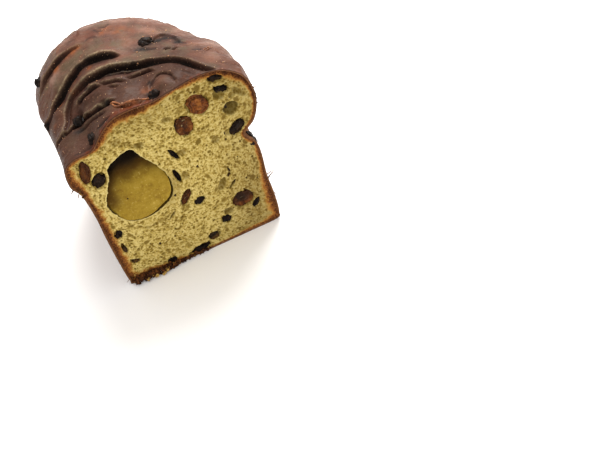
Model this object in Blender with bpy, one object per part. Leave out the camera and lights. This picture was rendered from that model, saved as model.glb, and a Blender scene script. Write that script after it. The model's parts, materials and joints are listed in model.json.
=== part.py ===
"""The cut half of a tin loaf of currant bread, with a log of almond paste baked into it.

The loaf stands on its flat base. Its cut face looks towards -Y, +X is to the right of that face, and the
rounded end of the loaf is at +Y. The origin is on the base, under the middle of the bounding box. The bread
is one solid with pockets in it: a tunnel for the log of paste, and a hollow round every raisin and currant
that shows in the cut face or stands out of the crust.
"""

import math

import bmesh
import bpy
import numpy as np
from mathutils import Euler, Matrix, Vector

# ---- Driving dimensions, in metres -------------------------------------------------------------------
WIDTH = 0.105  # the loaf across its base, as wide as the tin
WALL_LENGTH = 0.1134  # from the cut face to the end wall
CROWN_OVERHANG = 0.0065  # how far the risen crown stands out over the end wall
WALL_ROUNDING = 0.0105  # radius of the edge between the side walls and the end wall
CROWN_ROUNDING = 0.047  # radius at which the crown rolls over the end
GAP = 0.0003  # clearance between the bread and everything that sits in it
CENTRE_X = 0.0525  # the middle of the bounding box, from the left end of the base
FACE_Y = -0.060  # the plane of the knife cut

PASTE_GAP_LENGTH = 0.034  # how far back the paste stands clear of the tunnel's roof
PASTE_END = 0.014  # bread left between the far end of the log and the end wall
PASTE_TOP_RECESS = 0.012  # how far the top of the log's front leans back from the cut
PASTE_LOW_RECESS = 0.0012  # how far its lower edge lies behind the cut

# ---- Shares of the width -----------------------------------------------------------------------------
# Cross-section at the cut and near the far end, from the left end of the base, clockwise. The first six
# points are the left wall, then come the crown, the right wall from point 24, and the base.
CUT_OUTLINE = [
    (0.030, 0.004), (0.002, 0.045), (0.004, 0.220), (0.014, 0.420), (0.028, 0.600), (0.026, 0.765),
    (0.000, 0.845), (0.018, 0.950), (0.080, 0.993), (0.180, 1.005), (0.250, 1.070), (0.330, 1.125),
    (0.430, 1.140), (0.540, 1.133), (0.650, 1.150), (0.780, 1.168), (0.900, 1.155), (1.000, 1.085),
    (1.040, 0.990), (1.040, 0.890), (1.000, 0.790), (0.935, 0.735), (0.935, 0.695), (0.975, 0.640),
    (0.985, 0.550), (0.980, 0.380), (0.990, 0.200), (0.985, 0.050), (0.955, 0.004), (0.700, 0.0),
    (0.350, 0.0),
]
END_OUTLINE = [
    (0.040, 0.004), (0.004, 0.050), (0.000, 0.220), (0.000, 0.420), (0.000, 0.600), (-0.008, 0.740),
    (-0.040, 0.840), (-0.033, 0.935), (0.020, 1.022), (0.088, 1.087), (0.175, 1.140), (0.280, 1.180),
    (0.400, 1.195), (0.520, 1.180), (0.640, 1.145), (0.760, 1.090), (0.870, 1.015), (0.955, 0.945),
    (1.005, 0.880), (1.015, 0.830), (1.000, 0.785), (0.970, 0.745), (0.965, 0.700), (0.980, 0.640),
    (0.985, 0.550), (0.985, 0.380), (0.985, 0.200), (0.980, 0.050), (0.950, 0.004), (0.680, 0.0),
    (0.350, 0.0),
]
CROWN_SPANS = range(6, 23)  # the spans of the outlines that need the finest steps
CORNER_SPANS = (0, 1, 26, 27, 30)  # the spans round the two corners of the base
STRAIGHT_STEPS = 20
ROUNDING_STEPS = 8
OUTLINE_CHANGE = (0.12, 0.80)  # where the cut's outline starts and ends turning into the end's
HEART = (0.50, 0.55)  # the point in the section that the walls face away from
CROWN_FOOT = 0.745  # height at which the crown folds under to meet the end wall

# Folds where one layer of dough lies over the next: the line of the crease from right to left, then the
# depth of the crease, its half width, and the height of the rolled lip behind it.
FOLDS = {
    "deep": ([(0.86, 0.02, 1.16), (0.78, 0.16, 1.17), (0.65, 0.29, 1.15), (0.50, 0.36, 1.15),
              (0.31, 0.38, 1.14), (0.17, 0.40, 1.06), (0.10, 0.37, 1.00), (0.00, 0.36, 0.88)],
             0.042, 0.054, 0.014),
    "second": ([(0.52, 0.47, 1.16), (0.40, 0.53, 1.18), (0.28, 0.53, 1.16), (0.17, 0.50, 1.09),
                (0.06, 0.46, 1.02), (-0.03, 0.44, 0.88)], 0.036, 0.044, 0.016),
    "third": ([(0.36, 0.64, 1.19), (0.25, 0.67, 1.17), (0.11, 0.67, 1.10), (0.00, 0.66, 1.00)],
              0.014, 0.030, 0.008),
    "near": ([(0.37, 0.13, 1.13), (0.28, 0.18, 1.10), (0.16, 0.25, 1.01), (0.07, 0.22, 0.98),
              (0.00, 0.20, 0.90)], 0.036, 0.040, 0.010),
    "left_lobe": ([(0.17, 0.43, 1.07), (0.12, 0.34, 1.02), (0.08, 0.26, 0.99)], 0.018, 0.035, 0.0),
    "behind": ([(0.92, 0.70, 0.94), (0.76, 0.82, 1.04), (0.55, 0.90, 1.09), (0.33, 0.88, 1.10),
                (0.14, 0.80, 1.03)], 0.026, 0.034, 0.012),
    "last": ([(0.84, 0.97, 0.88), (0.62, 1.05, 0.95), (0.38, 1.05, 0.95), (0.18, 0.97, 0.90)],
             0.022, 0.034, 0.010),
}
FOLD_ENDS = 0.09  # length over which a crease fades in and out

# The tunnel of the paste in the cut face, clockwise from its lower left, and how far the log of paste has
# shrunk away from each of those points, in metres.
TUNNEL_OUTLINE = [
    (0.156, 0.492), (0.122, 0.560), (0.108, 0.625), (0.128, 0.685), (0.155, 0.742), (0.187, 0.800),
    (0.205, 0.862), (0.255, 0.893), (0.345, 0.918), (0.385, 0.845), (0.430, 0.765), (0.458, 0.690),
    (0.466, 0.610), (0.442, 0.525), (0.380, 0.478), (0.290, 0.450), (0.215, 0.457),
]
PASTE_CLEARANCE = [
    0.0004, 0.0005, 0.0007, 0.0008, 0.0009, 0.0014, 0.0038, 0.0055, 0.0084, 0.0034, 0.0010, 0.0005,
    0.0004, 0.0004, 0.0004, 0.0004, 0.0004,
]
TUNNEL_HEART = (0.285, 0.660)

# ---- Fruit, in millimetres ---------------------------------------------------------------------------
# In the cut face: across and up from the left end of the base, then width, height, thickness, turn in
# degrees against the clock, and how far the cut surface lies behind the face.
FACE_FRUIT = {
    "sultana_crown": (78.0, 105.6, 11.6, 13.4, 9.0, 25, 0.3),
    "sultana_upper": (67.5, 95.8, 10.6, 12.6, 9.0, -10, 0.9),
    "sultana_right": (84.7, 28.3, 14.6, 12.2, 10.0, -4, 1.2),
    "sultana_left": (10.3, 93.2, 5.8, 15.4, 7.0, -15, 0.4),
    "sultana_middle": (53.0, 48.4, 4.8, 12.6, 7.0, -36, 0.9),
    "raisin_by_paste": (14.6, 83.9, 7.4, 10.2, 8.0, -35, 1.4),
    "raisin_lobe": (94.6, 81.6, 6.8, 10.6, 8.0, -50, 0.6),
    "raisin_slit": (53.5, 65.4, 2.8, 10.8, 6.0, 8, 1.4),
    "raisin_hollow": (56.5, 80.5, 3.2, 9.0, 6.0, 21, 1.4),
    "raisin_top": (91.4, 116.2, 9.2, 3.8, 7.0, -14, 0.9),
    "raisin_arc": (92.6, 108.4, 8.6, 4.4, 7.0, -22, 1.6),
    "raisin_base": (49.0, 3.7, 14.0, 5.2, 8.0, 8, 0.4),
    "raisin_low": (59.4, 8.9, 8.8, 6.4, 6.0, 10, 0.8),
    "raisin_corner": (9.2, 17.3, 6.2, 3.4, 6.0, -28, 0.8),
    "currant_right": (91.3, 21.0, 4.2, 7.6, 6.0, -34, 0.6),
    "currant_low": (70.3, 18.0, 6.6, 6.4, 6.0, 0, 0.9),
    "currant_left": (8.6, 42.9, 5.0, 6.8, 6.0, -19, 0.7),
    "currant_middle": (59.7, 41.5, 7.2, 4.8, 6.0, 26, 0.9),
    "currant_base": (29.4, 4.4, 6.4, 4.8, 6.0, 8, 0.5),
}
# In the crust: place across, back from the cut and up, then width, length, height and turn about Z.
CRUST_FRUIT = {
    "raisin_rim": (60.3, 4.6, 118.0, 8.6, 8.0, 6.4, 10),
    "raisin_rim_left": (22.6, 5.6, 107.2, 6.4, 8.4, 6.6, -30),
    "raisin_burnt": (68.0, 53.0, 119.4, 9.0, 8.4, 6.4, 20),
    "raisin_fold": (18.0, 28.6, 104.4, 8.4, 8.4, 8.0, 40),
    "raisin_side": (4.4, 73.5, 109.0, 6.0, 8.0, 7.0, 0),
    "currant_side": (0.2, 45.6, 99.0, 5.2, 6.0, 6.0, 0),
    "raisin_notch": (99.6, 5.0, 65.4, 8.4, 12.0, 13.6, -4),
}
WRINKLE = 0.055  # depth of the fruit's wrinkles, as a share of its radius

MATERIALS = {
    "bread": ((0.30, 0.165, 0.09, 1.0), 0.6),
    "paste": ((0.50, 0.34, 0.10, 1.0), 0.55),
    "sultana": ((0.20, 0.075, 0.02, 1.0), 0.35),
    "raisin": ((0.03, 0.018, 0.014, 1.0), 0.45),
}


def clear_scene():
    for item in list(bpy.data.objects):
        bpy.data.objects.remove(item)


def material(name):
    colour, roughness = MATERIALS[name]
    made = bpy.data.materials.new(name)
    made.use_nodes = True
    shader = made.node_tree.nodes["Principled BSDF"]
    shader.inputs["Base Color"].default_value = colour
    shader.inputs["Roughness"].default_value = roughness
    shader.inputs["Metallic"].default_value = 0.0
    return made


def smooth_step(low, high, value):
    share = np.clip((value - low) / (high - low), 0.0, 1.0)
    return share * share * (3 - 2 * share)


def closed_curve(points, steps):
    """A smooth closed curve through the points, with that many steps in each span, evenly divided."""
    points = np.array(points, float)
    made = []
    for span, count in enumerate(steps):
        before, start, end, after = (points[(span + k) % len(points)] for k in (-1, 0, 1, 2))
        for share in np.arange(count) / count:
            made.append(
                0.5 * (2 * start + (end - before) * share
                       + (2 * before - 5 * start + 4 * end - after) * share**2
                       + (3 * start - before - 3 * end + after) * share**3)
            )
    return np.array(made)


def open_curve(points, count=40):
    """A smooth line through the points, as that many evenly shared samples."""
    points = np.array(points, float)
    ends = np.vstack([2 * points[0] - points[1], points, 2 * points[-1] - points[-2]])
    places = np.linspace(0, len(points) - 1.0001, count)
    made = []
    for place in places:
        span = int(place)
        share = place - span
        before, start, end, after = ends[span : span + 4]
        made.append(
            0.5 * (2 * start + (end - before) * share
                   + (2 * before - 5 * start + 4 * end - after) * share**2
                   + (3 * start - before - 3 * end + after) * share**3)
        )
    return np.array(made)


def fold_relief(points, outward):
    """How far the folds lift or sink each surface point, in shares of the width."""
    relief = np.zeros(len(points))
    for line, depth, half_width, lip in FOLDS.values():
        path = open_curve(line)
        along = np.gradient(path, axis=0)
        along /= np.linalg.norm(along, axis=1)[:, None]
        travelled = np.r_[0, np.cumsum(np.linalg.norm(np.diff(path, axis=0), axis=1))]
        apart = points[:, None, :] - path[None, :, :]
        nearest = np.linalg.norm(apart, axis=2).argmin(axis=1)
        offset = apart[np.arange(len(points)), nearest]
        behind = np.cross(along[nearest], outward)
        side = np.einsum("ij,ij->i", offset, behind)
        beyond = np.abs(np.einsum("ij,ij->i", offset, along[nearest]))
        from_ends = np.minimum(travelled[nearest] + 0.5 * FOLD_ENDS, travelled[-1] - travelled[nearest])
        strength = smooth_step(0, FOLD_ENDS, from_ends) * np.exp(-((beyond / half_width) ** 2))
        relief -= strength * depth * np.exp(-((side / half_width) ** 2))
        relief += strength * lip * np.exp(-(((side - 1.8 * half_width) / (1.2 * half_width)) ** 2))
    return relief


def outline_steps(span):
    """How many steps a span of the loaf's outline takes: more on the crown and on the base's corners."""
    if span in CROWN_SPANS:
        return 3
    return 2 if span in CORNER_SPANS else 1


def end_ring(outline, rounding, crown):
    """Where the loaf's outline ends up once it has turned the corner to the end wall."""
    outward = outline - np.array(HEART)
    radius = np.linalg.norm(outward, axis=1)
    ring = np.array(HEART) + outward * (1 - rounding / radius)[:, None]
    ring[:, 1] += (CROWN_FOOT - ring[:, 1]) * crown
    return ring


def bread_rings():
    """The loaf's surface as rings from the cut to the middle of the end wall, in metres."""
    steps = [outline_steps(span) for span in range(len(CUT_OUTLINE))]
    cut = np.maximum(closed_curve(CUT_OUTLINE, steps), [-1, 0])
    end = np.maximum(closed_curve(END_OUTLINE, steps), [-1, 0])
    heart = np.array(HEART)
    length = WALL_LENGTH / WIDTH
    crown = smooth_step(0.66, 0.85, end[:, 1])
    reach = length + CROWN_OVERHANG / WIDTH * crown
    high = smooth_step(0.60, 1.0, end[:, 1])
    rounding = (WALL_ROUNDING + (CROWN_ROUNDING - WALL_ROUNDING) * high) / WIDTH
    foot = end_ring(end, rounding, crown)
    stations = []
    for share in np.linspace(0, 1, STRAIGHT_STEPS + 1):
        stations.append(((reach - rounding) * share, 0.0, 1.0))
    for turn in np.linspace(0, math.pi / 2, ROUNDING_STEPS + 1)[1:]:
        stations.append((reach - rounding * (1 - math.sin(turn)), 1 - math.cos(turn), 1.0))
    for size, tuck in ((0.965, 0.85), (0.91, 0.25), (0.84, 0.0), (0.4, 0.0)):
        stations.append((length + (reach - length) * tuck, 1.0, size))
    rings = []
    for back, rolled, size in stations:
        change = smooth_step(*OUTLINE_CHANGE, back)[:, None]
        section = cut * (1 - change) + end * change
        places = heart + (section + (foot - section) * rolled - heart) * size
        points = np.column_stack([places[:, 0], back, places[:, 1]])
        outward = section - heart
        outward /= np.linalg.norm(outward, axis=1)[:, None]
        facing = np.column_stack([outward[:, 0], np.full(len(cut), rolled), outward[:, 1]])
        facing /= np.linalg.norm(facing, axis=1)[:, None]
        shown = smooth_step(0.72, 0.86, points[:, 2]) * size
        relief = fold_relief(points, facing) * shown
        rings.append((points + facing * relief[:, None]) * WIDTH)
    return rings, np.array([heart[0], length, heart[1]]) * WIDTH


def to_frame(point):
    """From the left end of the base at the cut to the part's own frame."""
    return Vector((point[0] - CENTRE_X, point[1] + FACE_Y, point[2]))


def mesh_from_rings(name, rings, first_centre, last_centre):
    """A closed mesh over rings of equal length, shut by a fan of triangles or by one face."""
    made = bmesh.new()
    rows = [[made.verts.new(to_frame(point)) for point in ring] for ring in rings]
    count = len(rows[0])
    for row, following in zip(rows, rows[1:]):
        for k in range(count):
            n = (k + 1) % count
            made.faces.new((row[k], row[n], following[n], following[k]))
    for row, centre in ((rows[0], first_centre), (rows[-1], last_centre)):
        if centre is None:
            made.faces.new(row)
            continue
        middle = made.verts.new(to_frame(centre))
        for k in range(count):
            made.faces.new((row[k], row[(k + 1) % count], middle))
    bmesh.ops.recalc_face_normals(made, faces=made.faces)
    bmesh.ops.triangulate(made, faces=made.faces)
    mesh = bpy.data.meshes.new(name)
    made.to_mesh(mesh)
    made.free()
    mesh.shade_smooth()
    return mesh


def add_object(name, mesh, finish=None):
    made = bpy.data.objects.new(name, mesh)
    bpy.context.scene.collection.objects.link(made)
    if finish is not None:
        mesh.materials.append(finish)
    return made


def tunnel_ring(back, behind_wall, size=1.0):
    """A ring inside the tunnel, at a distance behind the cut and behind the tunnel's wall, in metres."""
    outline = closed_curve(TUNNEL_OUTLINE, [2] * len(TUNNEL_OUTLINE)) * WIDTH
    heart = np.array(TUNNEL_HEART) * WIDTH
    outward = outline - heart
    radius = np.linalg.norm(outward, axis=1)
    places = heart + outward * ((1 - behind_wall / radius) * size)[:, None]
    return np.column_stack([places[:, 0], np.full(len(places), back), places[:, 1]])


def paste_clearance():
    """How far the log of paste lies inside the tunnel's outline at the cut, all round."""
    spans = [(0.0, gap) for gap in PASTE_CLEARANCE]
    return np.maximum(closed_curve(spans, [2] * len(spans))[:, 1], 1.15 * GAP)


def roof_drop(back):
    """How far the tunnel's wall has come in to meet the log, behind the cut."""
    spare = paste_clearance() - 1.15 * GAP
    return spare * smooth_step(0, PASTE_GAP_LENGTH, back)


def paste_front(points):
    """How far behind the cut the front of the log lies, more at the top and at the left."""
    low, high = (value * WIDTH for value in (0.60, 0.86))
    lean = np.clip((points[:, 2] - low) / (high - low), 0, 1) ** 1.6
    left = np.clip((0.30 * WIDTH - points[:, 0]) / (0.18 * WIDTH), 0, 1) ** 1.5
    return PASTE_LOW_RECESS + (PASTE_TOP_RECESS - PASTE_LOW_RECESS) * lean + 0.0035 * left


def paste_rings():
    """The log of paste, from the middle of its front to its far end."""
    clearance = paste_clearance()
    far = WALL_LENGTH - PASTE_END
    rings = []
    for size, edge in ((0.3, 0.0), (0.6, 0.0), (0.82, 0.0003), (0.94, 0.0012), (1.0, 0.0035)):
        ring = tunnel_ring(0.0, clearance, size)
        ring[:, 1] = paste_front(ring) + edge
        rings.append(ring)
    for back in (0.022, 0.060, far - 0.006):
        rings.append(tunnel_ring(back, clearance))
    rings.append(tunnel_ring(far - 0.001, clearance, 0.88))
    rings.append(tunnel_ring(far, clearance, 0.6))
    middle = np.array([[TUNNEL_HEART[0] * WIDTH, 0.0, TUNNEL_HEART[1] * WIDTH]])
    middle[0, 1] = paste_front(middle)[0]
    return rings, middle[0], (middle[0, 0], far, middle[0, 2])


def tunnel_rings():
    """The cutter for the tunnel, which starts in front of the cut."""
    far = WALL_LENGTH - PASTE_END + GAP
    rings = [tunnel_ring(-0.002, roof_drop(0.0))]
    for back in (0.012, 0.023, 0.034, 0.070, far - 0.006):
        rings.append(tunnel_ring(back, roof_drop(back)))
    rings.append(tunnel_ring(far - 0.0006, roof_drop(far), 0.89))
    rings.append(tunnel_ring(far, roof_drop(far), 0.62))
    centre_x, centre_z = (value * WIDTH for value in TUNNEL_HEART)
    return rings, (centre_x, -0.002, centre_z), (centre_x, far, centre_z)


def wrinkled(direction, phase):
    """The radius of a dried fruit in a direction, as a share of its mean."""
    x, y, z = direction
    long_folds = math.sin(5 * x + 3 * z + phase) * math.sin(4 * y - 2 * x + 2 * phase)
    short_folds = math.sin(9 * z + 4 * y + 3 * phase)
    return 1 + WRINKLE * (long_folds + 0.4 * short_folds)


def fruit_mesh(name, size, turn, centre, phase, grow=0.0, cut=None):
    """A wrinkled fruit of that size round its centre. A cut is the plane y = cut that slices its front off."""
    made = bmesh.new()
    bmesh.ops.create_icosphere(made, subdivisions=2, radius=1.0)
    for vertex in made.verts:
        radius = wrinkled(vertex.co.normalized(), phase)
        vertex.co = Vector(vertex.co[k] * (0.5 * size[k] * radius + grow) for k in range(3))
    made.transform(Matrix.Translation(centre) @ turn.to_matrix().to_4x4())
    if cut is not None:
        geometry = list(made.verts) + list(made.edges) + list(made.faces)
        sliced = bmesh.ops.bisect_plane(
            made, geom=geometry, plane_co=(0, cut, 0), plane_no=(0, -1, 0), clear_outer=True
        )
        edges = [item for item in sliced["geom_cut"] if isinstance(item, bmesh.types.BMEdge)]
        bmesh.ops.holes_fill(made, edges=edges)
    bmesh.ops.recalc_face_normals(made, faces=made.faces)
    bmesh.ops.triangulate(made, faces=made.faces)
    mesh = bpy.data.meshes.new(name)
    made.to_mesh(mesh)
    made.free()
    mesh.shade_smooth()
    return mesh


def make_fruit(finishes, pockets):
    """Every raisin, sultana and currant, and the pocket that each one leaves in the bread."""
    places = []
    for name, (across, up, width, height, thick, turn, recess) in FACE_FRUIT.items():
        size = Vector((width, thick, height)) / 1000
        centre = to_frame((across / 1000, 0.18 * size.y, up / 1000))
        places.append((name, size, Euler((0, -math.radians(turn), 0)), centre, FACE_Y + recess / 1000))
    for name, (across, back, up, width, length, height, turn) in CRUST_FRUIT.items():
        size = Vector((width, length, height)) / 1000
        centre = to_frame((across / 1000, back / 1000, up / 1000))
        places.append((name, size, Euler((0, 0, math.radians(turn))), centre, FACE_Y + GAP))
    for order, (name, size, turn, centre, cut) in enumerate(places):
        finish = finishes["sultana" if name.startswith("sultana") else "raisin"]
        add_object(name, fruit_mesh(name, size, turn, centre, 1.7 * order, cut=cut), finish)
        cutter = add_object(
            name + "_pocket", fruit_mesh(name + "_pocket", size, turn, centre, 1.7 * order, grow=GAP)
        )
        pockets.append(cutter)


def make_bread(finish, pockets):
    rings, end_centre = bread_rings()
    bread = add_object("bread", mesh_from_rings("bread", rings, None, end_centre), finish)
    cutters = bpy.data.collections.new("pockets")
    bpy.context.scene.collection.children.link(cutters)
    for pocket in pockets:
        cutters.objects.link(pocket)
        bpy.context.scene.collection.objects.unlink(pocket)
        pocket.hide_render = True
        pocket.display_type = "WIRE"
    hollow = bread.modifiers.new("pockets", "BOOLEAN")
    hollow.operation = "DIFFERENCE"
    hollow.solver = "EXACT"
    hollow.operand_type = "COLLECTION"
    hollow.collection = cutters
    hollow.use_self = True


def main():
    clear_scene()
    finishes = {name: material(name) for name in MATERIALS}
    pockets = [add_object("paste_tunnel", mesh_from_rings("paste_tunnel", *tunnel_rings()))]
    add_object("almond_paste", mesh_from_rings("almond_paste", *paste_rings()), finishes["paste"])
    make_fruit(finishes, pockets)
    make_bread(finishes["bread"], pockets)


main()
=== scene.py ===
# %% [markdown]
# # The cut half of a loaf of currant bread with almond paste
#
# The real loaf is baked in a tin. Its walls are flat where the tin held the dough, and above the tin the
# dough rose into a crown of rolled folds under a dark, glazed crust. The knife cut shows a yellow crumb
# full of pores, raisins, sultanas and currants, and a log of almond paste that has shrunk away from the
# roof of its tunnel.
#
# The CAD model holds the true sizes: one solid for the bread, one for the paste, and one for each fruit.
# This script makes the fine surfaces round them. It starts with that model as a frame that never moves.

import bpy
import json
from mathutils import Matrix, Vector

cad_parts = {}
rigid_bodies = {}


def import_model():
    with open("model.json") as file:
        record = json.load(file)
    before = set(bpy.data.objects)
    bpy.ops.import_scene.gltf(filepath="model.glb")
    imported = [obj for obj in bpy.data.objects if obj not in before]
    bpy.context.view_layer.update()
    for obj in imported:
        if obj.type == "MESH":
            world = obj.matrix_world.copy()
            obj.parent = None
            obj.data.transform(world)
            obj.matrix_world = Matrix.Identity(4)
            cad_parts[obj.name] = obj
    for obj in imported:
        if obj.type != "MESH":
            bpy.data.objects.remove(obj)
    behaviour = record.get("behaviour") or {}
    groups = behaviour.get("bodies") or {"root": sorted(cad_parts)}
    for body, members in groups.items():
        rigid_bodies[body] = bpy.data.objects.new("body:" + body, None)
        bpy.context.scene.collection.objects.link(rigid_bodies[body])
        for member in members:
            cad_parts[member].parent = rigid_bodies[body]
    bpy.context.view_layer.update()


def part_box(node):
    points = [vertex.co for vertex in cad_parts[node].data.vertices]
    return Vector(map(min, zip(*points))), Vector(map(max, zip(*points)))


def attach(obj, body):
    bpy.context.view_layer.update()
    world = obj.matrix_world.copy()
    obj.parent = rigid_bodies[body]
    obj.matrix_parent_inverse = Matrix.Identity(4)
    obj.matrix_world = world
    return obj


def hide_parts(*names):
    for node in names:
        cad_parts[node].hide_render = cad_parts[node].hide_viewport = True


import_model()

# %% Modules
import itertools
import json
import math

import bmesh
import bpy
import numpy as np
from mathutils import Euler, Matrix, Vector
from mathutils.geometry import delaunay_2d_cdt
from mathutils.kdtree import KDTree

MM = 0.001
NOISE_CELLS = 24  # the noise repeats after this many lumps

# %% [markdown]
# ## Helpers for shapes
#
# Bread has no straight line in it. A few helpers give all the unevenness that follows: a smooth step from
# one value to the next, a smooth bell, a smooth curve through a few points, and a smooth noise that is the
# same on every run because its table of numbers comes from a fixed seed. A last helper reads the tables
# that are written in hundredths.

# %% Curves, steps and noise
def smooth_step(low, high, value):
    share = np.clip((value - low) / (high - low), 0.0, 1.0)
    return share * share * (3 - 2 * share)


def bell(distance):
    """1 at no distance, and falling smoothly to 0 on both sides."""
    return np.exp(-(distance**2))


def round_spot(points, spot, radius):
    """1 at a spot, and falling smoothly to 0 round it."""
    return np.exp(-((points - np.array(spot)) ** 2).sum(-1) / radius**2)


def curve_at(points, places):
    """Points on the smooth closed curve through some points. Place 2.5 is halfway from point 2 to 3."""
    points = np.array(points, float)
    span = np.floor(places).astype(int)
    share = (places - span)[:, None]
    before, start, end, after = (points[(span + shift) % len(points)] for shift in (-1, 0, 1, 2))
    return 0.5 * (
        2 * start
        + (end - before) * share
        + (2 * before - 5 * start + 4 * end - after) * share**2
        + (3 * start - before - 3 * end + after) * share**3
    )


def line_through(points, step):
    """A smooth open line through the points, sampled about every step. A fourth number goes along."""
    points = np.array(points, float)
    ends = np.vstack([points[0] * 2 - points[1], points, points[-1] * 2 - points[-2]])
    dense = curve_at(ends, np.linspace(1, len(points) - 0.0001, 40 * len(points)))
    travelled = np.r_[0, np.cumsum(np.linalg.norm(np.diff(dense[:, :3], axis=0), axis=1))]
    count = max(int(travelled[-1] / step) + 1, 3)
    wanted = np.linspace(0, travelled[-1], count)
    return np.column_stack([np.interp(wanted, travelled, values) for values in dense.T])


def noise(points, size, seed):
    """Smooth noise from -1 to 1 at each point. Its lumps are about as large as size."""
    source = np.random.default_rng(seed)
    table = source.uniform(-1, 1, (NOISE_CELLS,) * 3)
    turn = np.array(Euler(source.uniform(0, 3, 3)).to_matrix())
    where = points @ turn.T / size
    low = np.floor(where).astype(int)
    share = where - low
    share = share * share * (3 - 2 * share)
    total = np.zeros(len(points))
    for corner in itertools.product((0, 1), repeat=3):
        weight = np.prod(np.where(corner, share, 1 - share), axis=1)
        cell = (low + corner) % NOISE_CELLS
        total += weight * table[cell[:, 0], cell[:, 1], cell[:, 2]]
    return total


def fractal(points, size, seed, octaves=3):
    """Noise with finer noise on top of it."""
    total = sum(noise(points, size / 2**octave, seed + octave) / 2**octave for octave in range(octaves))
    return total / (2 - 2 ** (1 - octaves))


def hundredths(values):
    """Hundredths as whole shares: one number, or a list, tuple or dictionary of them."""
    if isinstance(values, dict):
        return {label: hundredths(some) for label, some in values.items()}
    if isinstance(values, (list, tuple)):
        return type(values)(hundredths(some) for some in values)
    return round(values / 100, 6)


# %% [markdown]
# A finished piece is one mesh with its place in its points, which rides on the CAD body and hides the CAD
# nodes that it stands for. Numbers worked out for each point, such as how deep it lies in a fold, are kept
# on the mesh as named attributes, because the materials read them.

# %% Make a piece
def grid_faces(rows, columns, start=0, flip=False):
    """Quads between rows of points, each row closed into a ring."""
    row, column = np.meshgrid(np.arange(rows - 1), np.arange(columns), indexing="ij")
    following = (column + 1) % columns
    corners = [row * columns + column, row * columns + following,
               (row + 1) * columns + following, (row + 1) * columns + column]
    quads = np.stack(corners, axis=-1).reshape(-1, 4) + start
    return quads[:, ::-1] if flip else quads


def face_list(groups):
    """Groups of faces as one list."""
    return [face for group in groups for face in np.array(group).tolist()]


def add_object(name, data):
    made = bpy.data.objects.new(name, data)
    bpy.context.scene.collection.objects.link(made)
    return made


def piece(name, points, faces, attributes=None, nodes=(), *, finish):
    """A mesh object from points in metres and lists of faces, riding on the loaf's body."""
    mesh = bpy.data.meshes.new(name)
    mesh.from_pydata([tuple(point) for point in points], [], [tuple(face) for face in faces])
    for label, values in (attributes or {}).items():
        layer = mesh.attributes.new(label, "FLOAT", "POINT")
        layer.data.foreach_set("value", np.asarray(values, np.float32))
    mesh.shade_smooth()
    mesh.materials.append(finish)
    made = add_object(name, mesh)
    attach(made, "root")
    if nodes:
        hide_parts(*nodes)
    triangles = sum(len(face.vertices) - 2 for face in mesh.polygons)
    print(f"{name}: {len(mesh.vertices)} points, {triangles} triangles")
    return made


# %% [markdown]
# ## Helpers for materials
#
# A material is a small network of nodes. The classes below let the network be written as sums: a Signal is
# one value that varies over the surface, and adding or multiplying signals adds the Math nodes. Colours are
# given as on a screen, and laid over one another in layers.

# %% Signals and finishes
def tone(red, green, blue):
    """A colour given as on a screen, from 0 to 255, as the light-linear colour that Blender works with."""
    shares = [value / 255 for value in (red, green, blue)]
    linear = [share / 12.92 if share <= 0.04045 else ((share + 0.055) / 1.055) ** 2.4 for share in shares]
    return (*linear, 1.0)


class Signal:
    """One value in a material, which takes part in sums as a number does."""

    def __init__(self, finish, socket):
        self.finish = finish
        self.socket = socket

    def maths(self, operation, first, second, clamp=False):
        settings = {"operation": operation, "use_clamp": clamp}
        return self.finish.node("ShaderNodeMath", settings, {0: first, 1: second})

    def __add__(self, other):
        return self.maths("ADD", self, other)

    def __radd__(self, other):
        return self.maths("ADD", other, self)

    def __sub__(self, other):
        return self.maths("SUBTRACT", self, other)

    def __rsub__(self, other):
        return self.maths("SUBTRACT", other, self)

    def __mul__(self, other):
        return self.maths("MULTIPLY", self, other)

    def __rmul__(self, other):
        return self.maths("MULTIPLY", other, self)

    def limited(self):
        """The same value, kept between 0 and 1."""
        return self.maths("ADD", self, 0.0, clamp=True)


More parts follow.
